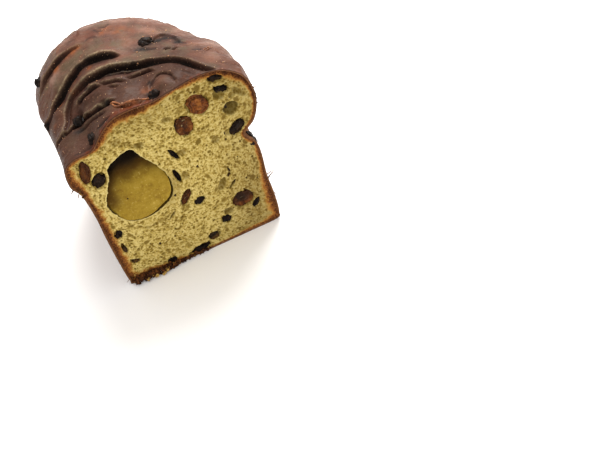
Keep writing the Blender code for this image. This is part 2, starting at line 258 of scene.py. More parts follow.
class Finish:
    """A material and the nodes that feed its one shader."""

    def __init__(self, name, **constants):
        self.material = bpy.data.materials.new(name)
        self.material.use_nodes = True
        self.tree = self.material.node_tree
        self.shader = self.tree.nodes["Principled BSDF"]
        for label, value in constants.items():
            self.shader.inputs[label.replace("_", " ")].default_value = value

    def connect(self, socket, value):
        if isinstance(value, Signal):
            self.tree.links.new(value.socket, socket)
        else:
            socket.default_value = value

    def node(self, kind, settings=None, inputs=None, output=0):
        """Adds a node: its settings are set first, then its sockets get their values or links."""
        made = self.tree.nodes.new(kind)
        for label, value in (settings or {}).items():
            if label == "stops":
                ramp = made.color_ramp
                while len(ramp.elements) < len(value):
                    ramp.elements.new(1.0)
                for element, (position, colour) in zip(ramp.elements, value):
                    element.position = position
                    element.color = tone(*colour)
            else:
                setattr(made, label, value)
        for label, value in (inputs or {}).items():
            self.connect(made.inputs[label], value)
        return Signal(self, made.outputs[output])

    def place(self):
        return self.node("ShaderNodeTexCoord", output="Object")

    def attribute(self, label):
        return self.node("ShaderNodeAttribute", {"attribute_name": label}, output="Fac")

    def grain(self, size, detail=3.0, roughness=0.55, stretch=(1, 1, 1)):
        """Noise from 0 to 1 with grains of that size in metres."""
        spot = self.place()
        if stretch != (1, 1, 1):
            spot = self.node("ShaderNodeMapping", {}, {"Vector": spot, "Scale": stretch})
        return self.node("ShaderNodeTexNoise", {}, {
            "Vector": spot, "Scale": 1 / size, "Detail": detail, "Roughness": roughness})

    def cells(self, size):
        """How far each spot lies from the middle of its cell, for cells of that size in metres."""
        inputs = {"Vector": self.place(), "Scale": 1 / size}
        return self.node("ShaderNodeTexVoronoi", {"feature": "F1"}, inputs, "Distance")

    def ramp(self, value, stops):
        """A colour that follows a value. Every stop is a value and a colour as on a screen."""
        return self.node("ShaderNodeValToRGB", {"stops": stops}, {"Fac": value})

    def step(self, value, low, high):
        """A smooth change from 0 to 1 while the value goes from low to high."""
        inputs = {"Value": value, "From Min": low, "From Max": high}
        return self.node("ShaderNodeMapRange", {"interpolation_type": "SMOOTHSTEP"}, inputs)

    def mix(self, share, first, second):
        """The first colour with a share of the second, which may be given as on a screen."""
        if isinstance(second, tuple):
            second = tone(*second)
        settings = {"data_type": "RGBA", "clamp_factor": True}
        return self.node("ShaderNodeMix", settings, {0: share, 6: first, 7: second}, output=2)

    def layered(self, colour, *layers):
        """A colour with other colours laid over it one by one, each with its share."""
        for share, over in layers:
            colour = self.mix(share, colour, over)
        return colour

    def bump(self, height, distance, strength=1.0, normal=None):
        inputs = {"Height": height, "Distance": distance, "Strength": strength}
        if normal is not None:
            inputs["Normal"] = normal
        return self.node("ShaderNodeBump", {}, inputs)

    def finish(self, **inputs):
        """Feeds the shader's own sockets and gives the material."""
        for label, value in inputs.items():
            self.connect(self.shader.inputs[label.replace("_", " ")], value)
        return self.material

# %% [markdown]
# ## The loaf's form
#
# The loaf is measured in shares of its width, from the left end of its base at the cut: across, back and
# up. The tables of such places are written in hundredths. Two outlines give its form, one at the knife cut
# and one near the far end, and the loaf runs smoothly from the one to the other. The points of both
# outlines go clockwise from the bottom left: the left wall, the crown, the right wall and the base.

# %% Sizes and outlines
FACE_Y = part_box("bread")[0].y
WIDTH = 0.105
LENGTH = 0.1134
CENTRE_X = WIDTH / 2
WALL_LENGTH = LENGTH / WIDTH
CROWN_OVERHANG = 0.0065 / WIDTH
WALL_ROUNDING = 0.0105 / WIDTH
CROWN_ROUNDING = 0.047 / WIDTH
CROWN_FOOT = 0.745
HEART = np.array((0.50, 0.55))
OUTLINE_CHANGE = (0.12, 0.80)
CROWN_HEIGHTS = (0.70, 0.84)  # between these heights the walls turn into the crown
END_RINGS = (  # the size of every ring on the end wall, and how far it stands out with the crown
    (0.965, 0.85), (0.93, 0.45), (0.88, 0.1), (0.80, 0.0), (0.6, 0.0), (0.4, 0.0), (0.2, 0.0))

CUT_OUTLINE = hundredths([
    (3, 0.4), (0.2, 4.5), (0.4, 22), (1.4, 42), (2.8, 60), (2.6, 76.5), (0, 84.5), (1.8, 95), (8, 99.3),
    (18, 100.5), (25, 107), (33, 112.5), (43, 114), (54, 113.3), (65, 115), (78, 116.8), (90, 115.5),
    (100, 108.5), (104, 99), (104, 89), (100, 79), (93.5, 73.5), (93.5, 69.5), (97.5, 64), (98.5, 55),
    (98, 38), (99, 20), (98.5, 5), (95.5, 0.4), (70, 0), (35, 0)
])
END_OUTLINE = hundredths([
    (4, 0.4), (0.4, 5), (0, 22), (0, 42), (0, 60), (-0.8, 74), (-4, 84), (-3.3, 93.5), (2, 102.2),
    (8.8, 108.7), (17.5, 114), (28, 118), (40, 119.5), (52, 118), (64, 114.5), (76, 109), (87, 101.5),
    (95.5, 94.5), (100.5, 88), (101.5, 83), (100, 78.5), (97, 74.5), (96.5, 70), (98, 64), (98.5, 55),
    (98.5, 38), (98.5, 20), (98, 5), (95, 0.4), (68, 0), (35, 0)
])
FIRST_CROWN_POINT, LAST_CROWN_POINT = 5, 22
CROWN_STEP = 0.62 * MM / WIDTH
WALL_STEP = 1.7 * MM / WIDTH


def outline_places():
    """Where round the outlines the columns of the crust stand: close together on the crown."""
    fine = np.arange(0, len(CUT_OUTLINE), 0.02)
    lengths = [np.linalg.norm(np.diff(curve_at(line, np.r_[fine, 0]), axis=0), axis=1)
               for line in (CUT_OUTLINE, END_OUTLINE)]
    on_crown = (fine > FIRST_CROWN_POINT) & (fine < LAST_CROWN_POINT + 1)
    steps = (lengths[0] + lengths[1]) / 2 / np.where(on_crown, CROWN_STEP, WALL_STEP)
    travelled = np.r_[0, np.cumsum(steps)]
    count = int(travelled[-1])
    wanted = np.arange(count) * travelled[-1] / count
    return np.interp(wanted, travelled, np.r_[fine, len(CUT_OUTLINE)])


places = outline_places()
print(len(places), "columns round the loaf")

# %% [markdown]
# The form is worked out as rows of such columns. The first rows run straight back from the cut. The last
# ones roll over to the end wall, in a wide curve on the crown and a tight one on the walls.

# %% The smooth loaf
def loaf_rows(straight, rolled):
    """Points of the smooth loaf as an array of rows, one behind the other, columns and three numbers."""
    cut = np.maximum(curve_at(CUT_OUTLINE, places), [-1, 0])
    end = np.maximum(curve_at(END_OUTLINE, places), [-1, 0])
    crown = smooth_step(0.66, 0.85, end[:, 1])
    reach = WALL_LENGTH + CROWN_OVERHANG * crown
    rounding = WALL_ROUNDING + (CROWN_ROUNDING - WALL_ROUNDING) * smooth_step(0.60, 1.0, end[:, 1])
    outward = end - HEART
    foot = HEART + outward * (1 - rounding / np.linalg.norm(outward, axis=1))[:, None]
    foot[:, 1] += (CROWN_FOOT - foot[:, 1]) * crown
    stations = [((reach - rounding) * share, 0.0, 1.0) for share in np.linspace(0, 1, straight)]
    for turn in np.linspace(0, math.pi / 2, rolled + 1)[1:]:
        stations.append((reach - rounding * (1 - math.sin(turn)), 1 - math.cos(turn), 1.0))
    for size, tuck in END_RINGS:
        stations.append((WALL_LENGTH + (reach - WALL_LENGTH) * tuck, 1.0, size))
    rows = []
    for back, share, size in stations:
        change = smooth_step(*OUTLINE_CHANGE, back)[:, None]
        section = cut * (1 - change) + end * change
        spots = HEART + (section + (foot - section) * share - HEART) * size
        rows.append(np.column_stack([spots[:, 0], back, spots[:, 1]]))
    return np.array(rows)


def facing(rows):
    """The outward direction at every point of such rows."""
    around = np.roll(rows, -1, axis=1) - np.roll(rows, 1, axis=1)
    along = np.gradient(rows, axis=0)
    out = np.cross(around, along)
    return out / np.maximum(np.linalg.norm(out, axis=2, keepdims=True), 1e-9)


def to_frame(points):
    """From shares of the width to metres in the part's own frame."""
    return np.asarray(points) * WIDTH + [-CENTRE_X, FACE_Y, 0]


smooth_rows = loaf_rows(straight=152, rolled=36)
smooth_out = facing(smooth_rows)
print("outward at the top:", smooth_out[10, np.argmax(smooth_rows[10, :, 2])].round(2))

# %% [markdown]
# ## The folds of the crown
#
# A baker rolls the dough up before it goes into the tin. Where one layer ends on top of the next there is a
# deep crease, and the upper layer stands over it as a rounded roll. Each fold is a line across the crown,
# from right to left, with the depth of its crease, how wide the slope in front of the crease is, how wide
# the steep side behind it is, how high the roll stands, and how far the roll leans forward over the crease.
# The fourth number of every corner says how strong the fold is there, as a fold sinks into the dough in one
# place and fades in another.

# %% The lines of the folds
FOLDS = hundredths({
    "deep": ((3.4, 2.8, 1.9, 1.4, 0.5), [
        (93, -2, 114, 30), (86, 3, 116.5, 60), (81, 10, 117, 75), (72, 24, 116, 60), (57, 33, 114, 100),
        (43, 37, 116, 100), (31, 38.5, 114, 85), (22, 40, 110, 65), (16.5, 40.5, 106.5, 50),
        (13.5, 37, 103, 50), (11.5, 31, 101, 45), (9.5, 25, 100, 40), (7, 19, 98.5, 20)]),
    "under_deep": ((1.2, 1, 1, 1, 0.2), [
        (66, 24.5, 115, 60), (61, 28.5, 115, 100), (56, 30, 114, 100), (49, 31.5, 114.5, 80),
        (41, 33.5, 115, 60), (34, 35.5, 114, 30)]),
    "second": ((2.8, 3, 1.9, 1.3, 0.4), [
        (51, 44, 116, 20), (46, 47.5, 117, 80), (40, 49.7, 117, 100), (33, 50.3, 117, 100),
        (23, 50, 113, 90), (16, 48.5, 108.5, 80), (11, 47, 105, 90), (7.2, 46, 102.8, 80),
        (5, 44, 101.2, 60), (1, 42, 96, 40), (-2, 41, 88, 20)]),
    "third": ((1.4, 2.4, 1.6, 1, 0.4), [
        (34, 64.5, 119, 30), (29, 66, 118, 60), (20, 67, 115, 90), (11, 66.5, 110, 100), (5, 65.5, 105, 70),
        (0, 64, 99, 40)]),
    "near": ((2.5, 1.8, 1.6, 1.2, 0.4), [
        (40, 12.5, 114, 50), (35, 13.5, 113, 100), (30, 15.5, 110.8, 100), (25, 19, 107.5, 70),
        (20, 23.5, 103.5, 80), (15, 25.5, 100.5, 80), (10, 23.5, 100, 60), (5, 21.5, 97.5, 50),
        (0, 20, 92, 30)]),
    "lowest": ((1, 1.1, 1.1, 0.6, 0.1), [
        (34, 7.5, 112, 60), (29, 11, 110, 100), (24, 15.5, 106, 100), (19, 18.5, 102, 80),
        (13, 17.5, 100, 40)]),
    "middle": ((1.8, 1.5, 1.3, 0.9, 0.2), [
        (36, 29, 114, 40), (31, 31.5, 114, 90), (25, 32.5, 110, 100), (21, 33.5, 107, 80),
        (18, 33, 104.5, 50)]),
    "right_wrinkle": ((1.2, 0.9, 1, 0.8, 0.1), [
        (63, 21, 115, 70), (60, 24.5, 114.5, 100), (55, 25.5, 113.8, 100), (50, 26.2, 114, 70),
        (46, 27.5, 114, 40)]),
    "left_wrinkle": ((1.3, 1.1, 1.1, 0.8, 0.1), [
        (49, 24.5, 114.5, 60), (43, 26.5, 114.5, 100), (37, 29.5, 115, 80), (33, 33, 114, 40)]),
    "short_wrinkle": ((1, 0.9, 1, 0.6, 0.1), [
        (45, 21.5, 114, 60), (40, 24.5, 114, 100), (36, 27, 114, 50)]),
    "blister_arc": ((1.1, 0.8, 0.8, 0.6, 0.1), [
        (68.7, 2, 115.6, 50), (69, 6, 115.7, 90), (68.5, 10.4, 115.6, 100), (66.9, 14.2, 115.3, 100),
        (64.7, 16.6, 115, 100), (62.1, 17.1, 114.5, 90), (59, 14.8, 113.9, 80), (56.7, 11.4, 113.6, 80),
        (55.3, 8.5, 113.5, 50)]),
    "burnt_arc": ((0.4, 1, 0.8, 1, 0), [
        (80.8, 38.6, 113.5, 50), (80.3, 47, 111.7, 80), (78.4, 52.4, 111.2, 100), (75.4, 54.5, 111.9, 100),
        (71.4, 52.2, 113.3, 100), (68.1, 47.3, 114.3, 80)]),
    "torn_lip": ((0.8, 1.2, 0.5, 0.8, 0.2), [
        (53, 2.6, 113.6, 50), (51.1, 3, 113.4, 80), (48.2, 3.3, 113.7, 100), (44.4, 3.6, 114, 100),
        (40.8, 5, 113.9, 100), (38, 8.5, 113.6, 80), (36.3, 12, 113.4, 50)]),
    "behind": ((1.8, 2.4, 1.5, 1.2, 0.6), [
        (93, 78, 94, 10), (76, 90, 100, 50), (55, 93, 107, 100), (33, 92, 108, 90), (14, 84, 103, 40)]),
    "last": ((1.5, 2.2, 1.5, 1, 0.6), [
        (86, 97, 86, 40), (62, 107, 93, 100), (38, 108, 94, 90), (16, 100, 90, 40)]),
    "right_side": ((1, 1.8, 1.2, 0.6, 0.4), [
        (104, 14, 90, 40), (104, 28, 90, 90), (102, 46, 90, 90), (99, 62, 90, 40)]),
})
FOLD_FADE = 0.05
LINE_STEP = 0.003
POINTS_AT_A_TIME = 20000


def points_near(points, line, reach):
    """The numbers of the points in the box round a line, a reach wider on every side."""
    return np.flatnonzero(((points > line.min(0) - reach) & (points < line.max(0) + reach)).all(1))


def nearest_on_line(points, line):
    """For each point: its place along the line, the offset from the line and the line's direction there."""
    along = np.gradient(line, axis=0)
    along /= np.linalg.norm(along, axis=1)[:, None]
    nearest = np.empty(len(points), int)
    for start in range(0, len(points), POINTS_AT_A_TIME):
        some = points[start : start + POINTS_AT_A_TIME]
        apart = (some**2).sum(1)[:, None] - 2 * some @ line.T + (line**2).sum(1)
        nearest[start : start + len(some)] = apart.argmin(1)
    return nearest, points - line[nearest], along[nearest]


def fold_moves(points, out):
    """Per point: the folds' push, painted shade in creases and valleys, and painted highlight on crests."""
    push = np.zeros_like(points)
    crease, crest_highlight, valley = (np.zeros(len(points)) for _ in range(3))
    for (depth, slope, steep, height, lean), corners in FOLDS.values():
        line = line_through(corners, LINE_STEP)
        strength = line[:, 3]
        line = line[:, :3]
        near = points_near(points, line, 3 * slope + 0.06)
        place, offset, along = nearest_on_line(points[near], line)
        behind = np.cross(along, out[near])
        behind /= np.maximum(np.linalg.norm(behind, axis=1), 1e-9)[:, None]
        side = (offset * behind).sum(1)
        beyond = np.abs((offset * along).sum(1))
        end_gap = np.minimum(place, len(line) - 1 - place) * LINE_STEP
        power = strength[place] * smooth_step(-0.01, FOLD_FADE, end_gap) * bell(beyond / 0.02)
        power *= 1 + 0.25 * noise(points[near], 0.09, 11)
        side = side / (0.40 + 0.60 * np.minimum(power, 1)) + 0.004 * noise(points[near], 0.035, 12)
        front = bell(np.minimum(side, 0) / slope)
        rise = smooth_step(0, steep, side)
        crest = bell(np.maximum(side - steep, 0) / (1.8 * steep + 0.012))
        lift = np.where(side < 0, -depth * front, -depth + (depth + height * crest) * rise)
        shift = lean * bell((side - steep) / (1.1 * steep))
        push[near] += power[:, None] * (out[near] * lift[:, None] - behind * shift[:, None])
        size = min(depth / 0.024, 1)
        # painted shade along the bottom of the crease
        bottom = bell((side - 0.1 * steep) / (0.55 * steep + 0.002))
        crease[near] = np.maximum(crease[near], power * bottom * (0.35 + 0.65 * size))
        # a painted highlight along the top of the roll
        top = bell((side - 1.15 * steep) / (0.32 * steep))
        crest_highlight[near] = np.maximum(crest_highlight[near], power * top * size)
        # painted shade on the valley floor in front of the roll
        floor = 1 - smooth_step(0.45 * steep, steep, side)
        floor *= bell(np.minimum(side, 0) / (1.9 * slope))
        valley[near] = np.maximum(valley[near], power * floor * size)
    return push, crease, crest_highlight, valley


# %% [markdown]
# Thin cracks and slits are too narrow to be folds. Each is a line with its width, its depth and how black
# it is. The black is painted shade down in the cracks, slits and holes, and along the wide arch it is also
# crust that burnt black.

# %% Cracks of the crown
CRACKS = hundredths({
    "lobe_left": (0.7, 0.6, 90, [(4.8, 59, 104), (5.6, 53.2, 103.5), (6, 48.6, 102.8), (5.3, 44.8, 101.5)]),
    "lobe_top": (0.6, 0.3, 35, [(6, 64, 106), (11.2, 62.2, 109.4), (17.2, 60.5, 112.7), (20.5, 56, 113)]),
    "groove_far_right": (0.8, 0.4, 80, [
        (85.1, 3, 116.6), (81.8, 6.5, 116.8), (79.3, 12.6, 116.8), (76, 19.6, 116.5), (71.5, 24.8, 115.7),
        (65.8, 29.7, 115), (60, 32.2, 114.6)]),
    "slit_right": (1, 0.5, 100, [(84.3, 25.8, 115.4), (87.1, 24.9, 115), (88.8, 23.5, 114.8)]),
    "slit_top": (0.9, 0.6, 90, [
        (42, 73, 119), (45.7, 74.7, 118.6), (48.3, 75.2, 118.2), (51.5, 77.6, 117.4)]),
    "slit_back": (0.7, 0.5, 70, [
        (39.3, 72.4, 119.2), (42.3, 72.2, 119.1), (45, 71.1, 118.9), (48, 72.2, 118.5)]),
    "slit_middle": (0.7, 0.4, 60, [(43, 66, 119), (39, 67.5, 119), (35, 66, 119)]),
    "slit_short": (0.6, 0.4, 50, [(52, 69.5, 117.5), (48, 70, 118), (44, 70.5, 118.7)]),
    "above_hole": (0.8, 0.6, 80, [(19.6, 34.3, 106.2), (21.5, 33.7, 107.7), (24.5, 32.3, 109.6)]),
    "small_slit": (0.7, 0.5, 90, [(25.6, 35.2, 111), (27.6, 33.9, 112), (29, 33.1, 112.6)]),
    "fringe": (0.6, 0.5, 60, [
        (73.5, 9.8, 116.6), (75.2, 7.2, 116.7), (76.8, 4.7, 116.7), (78.5, 1.8, 116.7)]),
    "fringe_low": (0.5, 0.3, 50, [(72.5, 5.5, 116.3), (74.5, 3, 116.5), (76, 1, 116.5)]),
    "under_arc": (0.6, 0.2, 50, [(70, 37, 115), (73.3, 36.6, 114.9), (76.8, 34, 115)]),
    "arch": (2.8, 0.3, 84, [
        (64, 46.5, 114.7), (69.2, 48.7, 114.1), (72, 49.4, 113.6), (75.3, 51.2, 112.5), (77.7, 51.2, 111.5),
        (79.8, 49.2, 111.2), (80.7, 45, 112.1), (81.2, 41, 112.8)]),
    "arch_end": (0.7, 0.4, 90, [
        (80.3, 47, 111.8), (80.9, 42.5, 112.6), (82.6, 39.2, 112.9), (84.5, 38, 112.7)]),
    "slit_far": (0.6, 0.4, 80, [
        (38.4, 72.2, 119.2), (42.4, 73, 119.1), (45.1, 74.7, 118.7), (48, 76.1, 118.1),
        (51.9, 77.5, 117.2)]),
    "hole_left": (1.2, 1.2, 120, [(71.9, 37.3, 114.8), (73.3, 36.9, 114.9), (74.7, 36.2, 114.9)]),
    "hole_right": (1.1, 1.2, 120, [(75.7, 34.5, 115), (76.8, 34.2, 115), (77.9, 34, 114.9)]),
    "above_rim": (1, 0.5, 90, [(33.7, 2.9, 112.8), (31.3, 2.8, 111.7), (28, 3.6, 109.4), (25, 5, 107)]),
    "rim_left": (0.8, 0.4, 70, [(20, 1.2, 101.8), (15.8, 2.2, 99.9), (9.6, 2.2, 99.6)]),
    "beside_burnt": (1.4, 0.4, 95, [(57.5, 45.5, 115.5), (61, 44.8, 115.2), (65, 42, 115), (69, 40, 115)]),
    "hole_line": (1, 0.8, 100, [
        (27.9, 17, 109.5), (29.8, 15.8, 110.8), (32.9, 15.5, 112.5), (36, 14.6, 113.3)]),
    "low_line": (0.8, 0.5, 80, [(19.4, 23.9, 102.8), (23.2, 20.9, 106), (27.2, 16.8, 109)]),
    "notch_left": (0.8, 0.5, 70, [(6, 32, 98.5), (4.5, 27, 96.5), (3, 20, 94.5), (2, 12, 93)]),
})


def crack_marks(points):
    """How deep each point lies in a crack, and how black: painted shade, and burnt crust on the arch."""
    sunk = np.zeros(len(points))
    black = np.zeros(len(points))
    for width, depth, crack_darkness, corners in CRACKS.values():
        line = line_through(corners, LINE_STEP)
        near = points_near(points, line, 0.04)
        place, offset, _ = nearest_on_line(points[near], line)
        taper = np.sin(np.pi * np.clip((place + 1) / (len(line) + 1), 0.02, 0.98)) ** 0.5
        wide = width * taper * (1 + 0.35 * noise(points[near], 0.02, 17))
        inside = np.exp(-(((offset**2).sum(1)) / wide**2))
        sunk[near] = np.maximum(sunk[near], depth * taper * inside)
        black[near] = np.maximum(black[near], crack_darkness * inside)
    return sunk, black


# %% [markdown]
# Between the folds the crown has lumps, pits and blisters. Each is a soft bump or hollow round one spot.
# The streaks of the crown follow the layers of the dough, so places are also measured along the folds.

# %% Lumps and pits of the crown
LUMPS = hundredths({  # across, back, up, its radius and its height
    "blister": (63.6, 8.5, 114.8, 4.8, 2.2), "lobe_upper": (12.6, 54.5, 108.4, 6, 1.4),
    "lobe_lower": (9, 38.5, 102.1, 5, 1.4), "knuckle": (24.5, 29.8, 109, 3, 1.4),
    "hole": (32.2, 15, 112, 1.8, -3.8), "fruit_hole": (17.1, 27.2, 101.9, 3.4, -3),
    "dent": (96.3, 20.7, 111.2, 1.4, -0.6), "side_bump": (5.8, 68.7, 107, 3.4, 1),
    "currant_bump": (-0.3, 43.5, 95.1, 2.8, 1.2), "scorch_hole_left": (73.3, 36.8, 114.8, 1.2, -2.2),
    "scorch_hole_right": (76.4, 34.3, 114.9, 1.1, -2.2), "fold_end": (81.8, 76.4, 104.7, 1.6, 1),
    "top_knob": (35, 76.8, 118.8, 1.5, 2), "top_ripple": (62, 83, 112.5, 3, 1),
    "back_slope": (90, 85, 94.5, 8.5, -2.6), "back_corner": (95.5, 79, 93, 12.5, -5),
    "rear_right": (95, 92, 87, 8.5, -4.5), "rear_ridge": (87.5, 64, 104.5, 7.5, 1.8),
    "top_right": (83, 71.8, 105.6, 5.5, 2), "left_swell": (-2.6, 58, 92.5, 6, 1.6),
    "side_swell": (99, 45, 100, 11, 2.4), "shoulder": (100, 30, 106, 10, 1.5),
    "shoulder_front": (101.5, 11, 106, 6, 1.4), "pale_pillow": (35.4, 21.5, 113.6, 3, 1),
    "crust_pillow": (45, 17, 114, 4.5, 1), "edge_bump": (100, 3, 108.5, 2.2, 1),
})


DEEP_FOLD = line_through(FOLDS["deep"][1], 0.02)[:, :3]
DEEP_FOLD = DEEP_FOLD[np.argsort(DEEP_FOLD[:, 0])]


def layer_places(points):
    """Each point's place in the layers of the rolled dough: along the folds, across them, and up."""
    across_folds = points[:, 1] - np.interp(points[:, 0], DEEP_FOLD[:, 0], DEEP_FOLD[:, 1])
    return np.column_stack([points[:, 0] * 0.22, across_folds, points[:, 2] * 0.45])


def lump_lift(points):
    lift = np.zeros(len(points))
    for *spot, radius, height in LUMPS.values():
        lift += height * round_spot(points, spot, radius)
    return lift


# %% [markdown]
# Now the crust itself: one closed shell. Its outer skin has the folds, and its inner skin is plain, because
# the crumb covers it. At the cut the shell is under a millimetre thick, so the crumb reaches almost to the
# rim there.

# %% Build the crust
def crust_surface():
    """The outer skin in shares of the width, and the numbers that its finish reads."""
    points = smooth_rows.reshape(-1, 3)
    out = smooth_out.reshape(-1, 3)
    on_crown = smooth_step(*CROWN_HEIGHTS, points[:, 2])
    near_cut = smooth_step(-0.004, 0.035, points[:, 1])
    wall = 1 - on_crown
    push, crease, crest, valley = fold_moves(points, out)
    sunk, black = crack_marks(points)
    lift = (lump_lift(points) - sunk) * near_cut
    lift += on_crown * near_cut * (0.008 * noise(points, 0.16, 21) + 0.0030 * fractal(points, 0.045, 22))
    layers = layer_places(points)
    streak = fractal(layers, 0.026, 27)
    folded = 1 + 0.9 * np.clip(valley + crest, 0, 1)
    lift += on_crown * near_cut * folded * (0.0011 * streak + 0.0006 * fractal(layers, 0.008, 31, 2))
    lift += (0.2 + 0.8 * near_cut) * (0.0016 + 0.0006 * wall) * fractal(points, 0.013, 25)
    lift += wall * near_cut * (0.007 * fractal(points, 0.12, 26) + 0.0024 * fractal(points, 0.035, 33))
    border = points[:, 2] + 0.035 * noise(points, 0.14, 34) + 0.030 * fractal(points, 0.05, 35)
    fade = on_crown * smooth_step(0.0, 0.030, points[:, 1])
    moved = points + push * fade[:, None] + out * lift[:, None]
    moved[:, 2] = np.maximum(moved[:, 2], 0)
    edge = points[:, 1] < 1e-6
    moved[edge, 1] = 0
    moved[:, 1] = np.maximum(moved[:, 1], 0)
    # creases and valleys get painted shade, crests a painted highlight, cracks mostly painted shade
    marks = {"crease": crease * fade, "crest": crest * fade, "valley": valley * fade, "black": black,
             "streak": 0.5 + 0.5 * np.clip(streak, -1, 1), "crown": smooth_step(*CROWN_HEIGHTS, border)}
    return moved, marks


CRUST_AT_CUT = 0.9 * MM / WIDTH
CRUST_BEHIND = 0.085
REAR_CORNER, REAR_REACH, REAR_INSET = (0.930, 0.820, 0.950), 0.20, 0.075
INNER_ROWS = (0, 4, 9, 16, 30, 60, 105, 151, 160, 172, 187, 190, 193)


def inner_skin(inset_more=0.0):
    """The inner skin of the crust: the smooth loaf moved inwards, more so behind the cut than at it."""
    rows = smooth_rows[list(INNER_ROWS)]
    back = rows[:, :, 1:2]
    inset = CRUST_AT_CUT + (CRUST_BEHIND - CRUST_AT_CUT) * smooth_step(0.0, 0.12, back) + inset_more
    inset = inset + REAR_INSET * round_spot(rows, REAR_CORNER, REAR_REACH)[:, :, None]
    moved = rows - smooth_out[list(INNER_ROWS)] * inset
    moved[0, :, 1] = 0
    moved[:, :, 2] = np.maximum(moved[:, :, 2], 0.5 * CRUST_AT_CUT)
    return moved


skin, marks = crust_surface()
inner = inner_skin()
row_count, column_count = smooth_rows.shape[:2]
first_inner = len(skin)
outer_pole = first_inner + len(inner) * column_count
poles = [skin[-column_count:].mean(0), inner[-1].mean(0)]
crust_points = np.vstack([skin, inner.reshape(-1, 3), poles])
column = np.arange(column_count)
following = (column + 1) % column_count
last = first_inner - column_count
last_inner = outer_pole - column_count
crust_faces = face_list([
    grid_faces(row_count, column_count),
    grid_faces(len(inner), column_count, first_inner, flip=True),
    np.column_stack([column, first_inner + column, first_inner + following, following]),
    np.column_stack([last + column, last + following, np.full(column_count, outer_pole)]),
    np.column_stack([last_inner + following, last_inner + column, np.full(column_count, outer_pole + 1)]),
])
print("crust faces:", len(crust_faces))
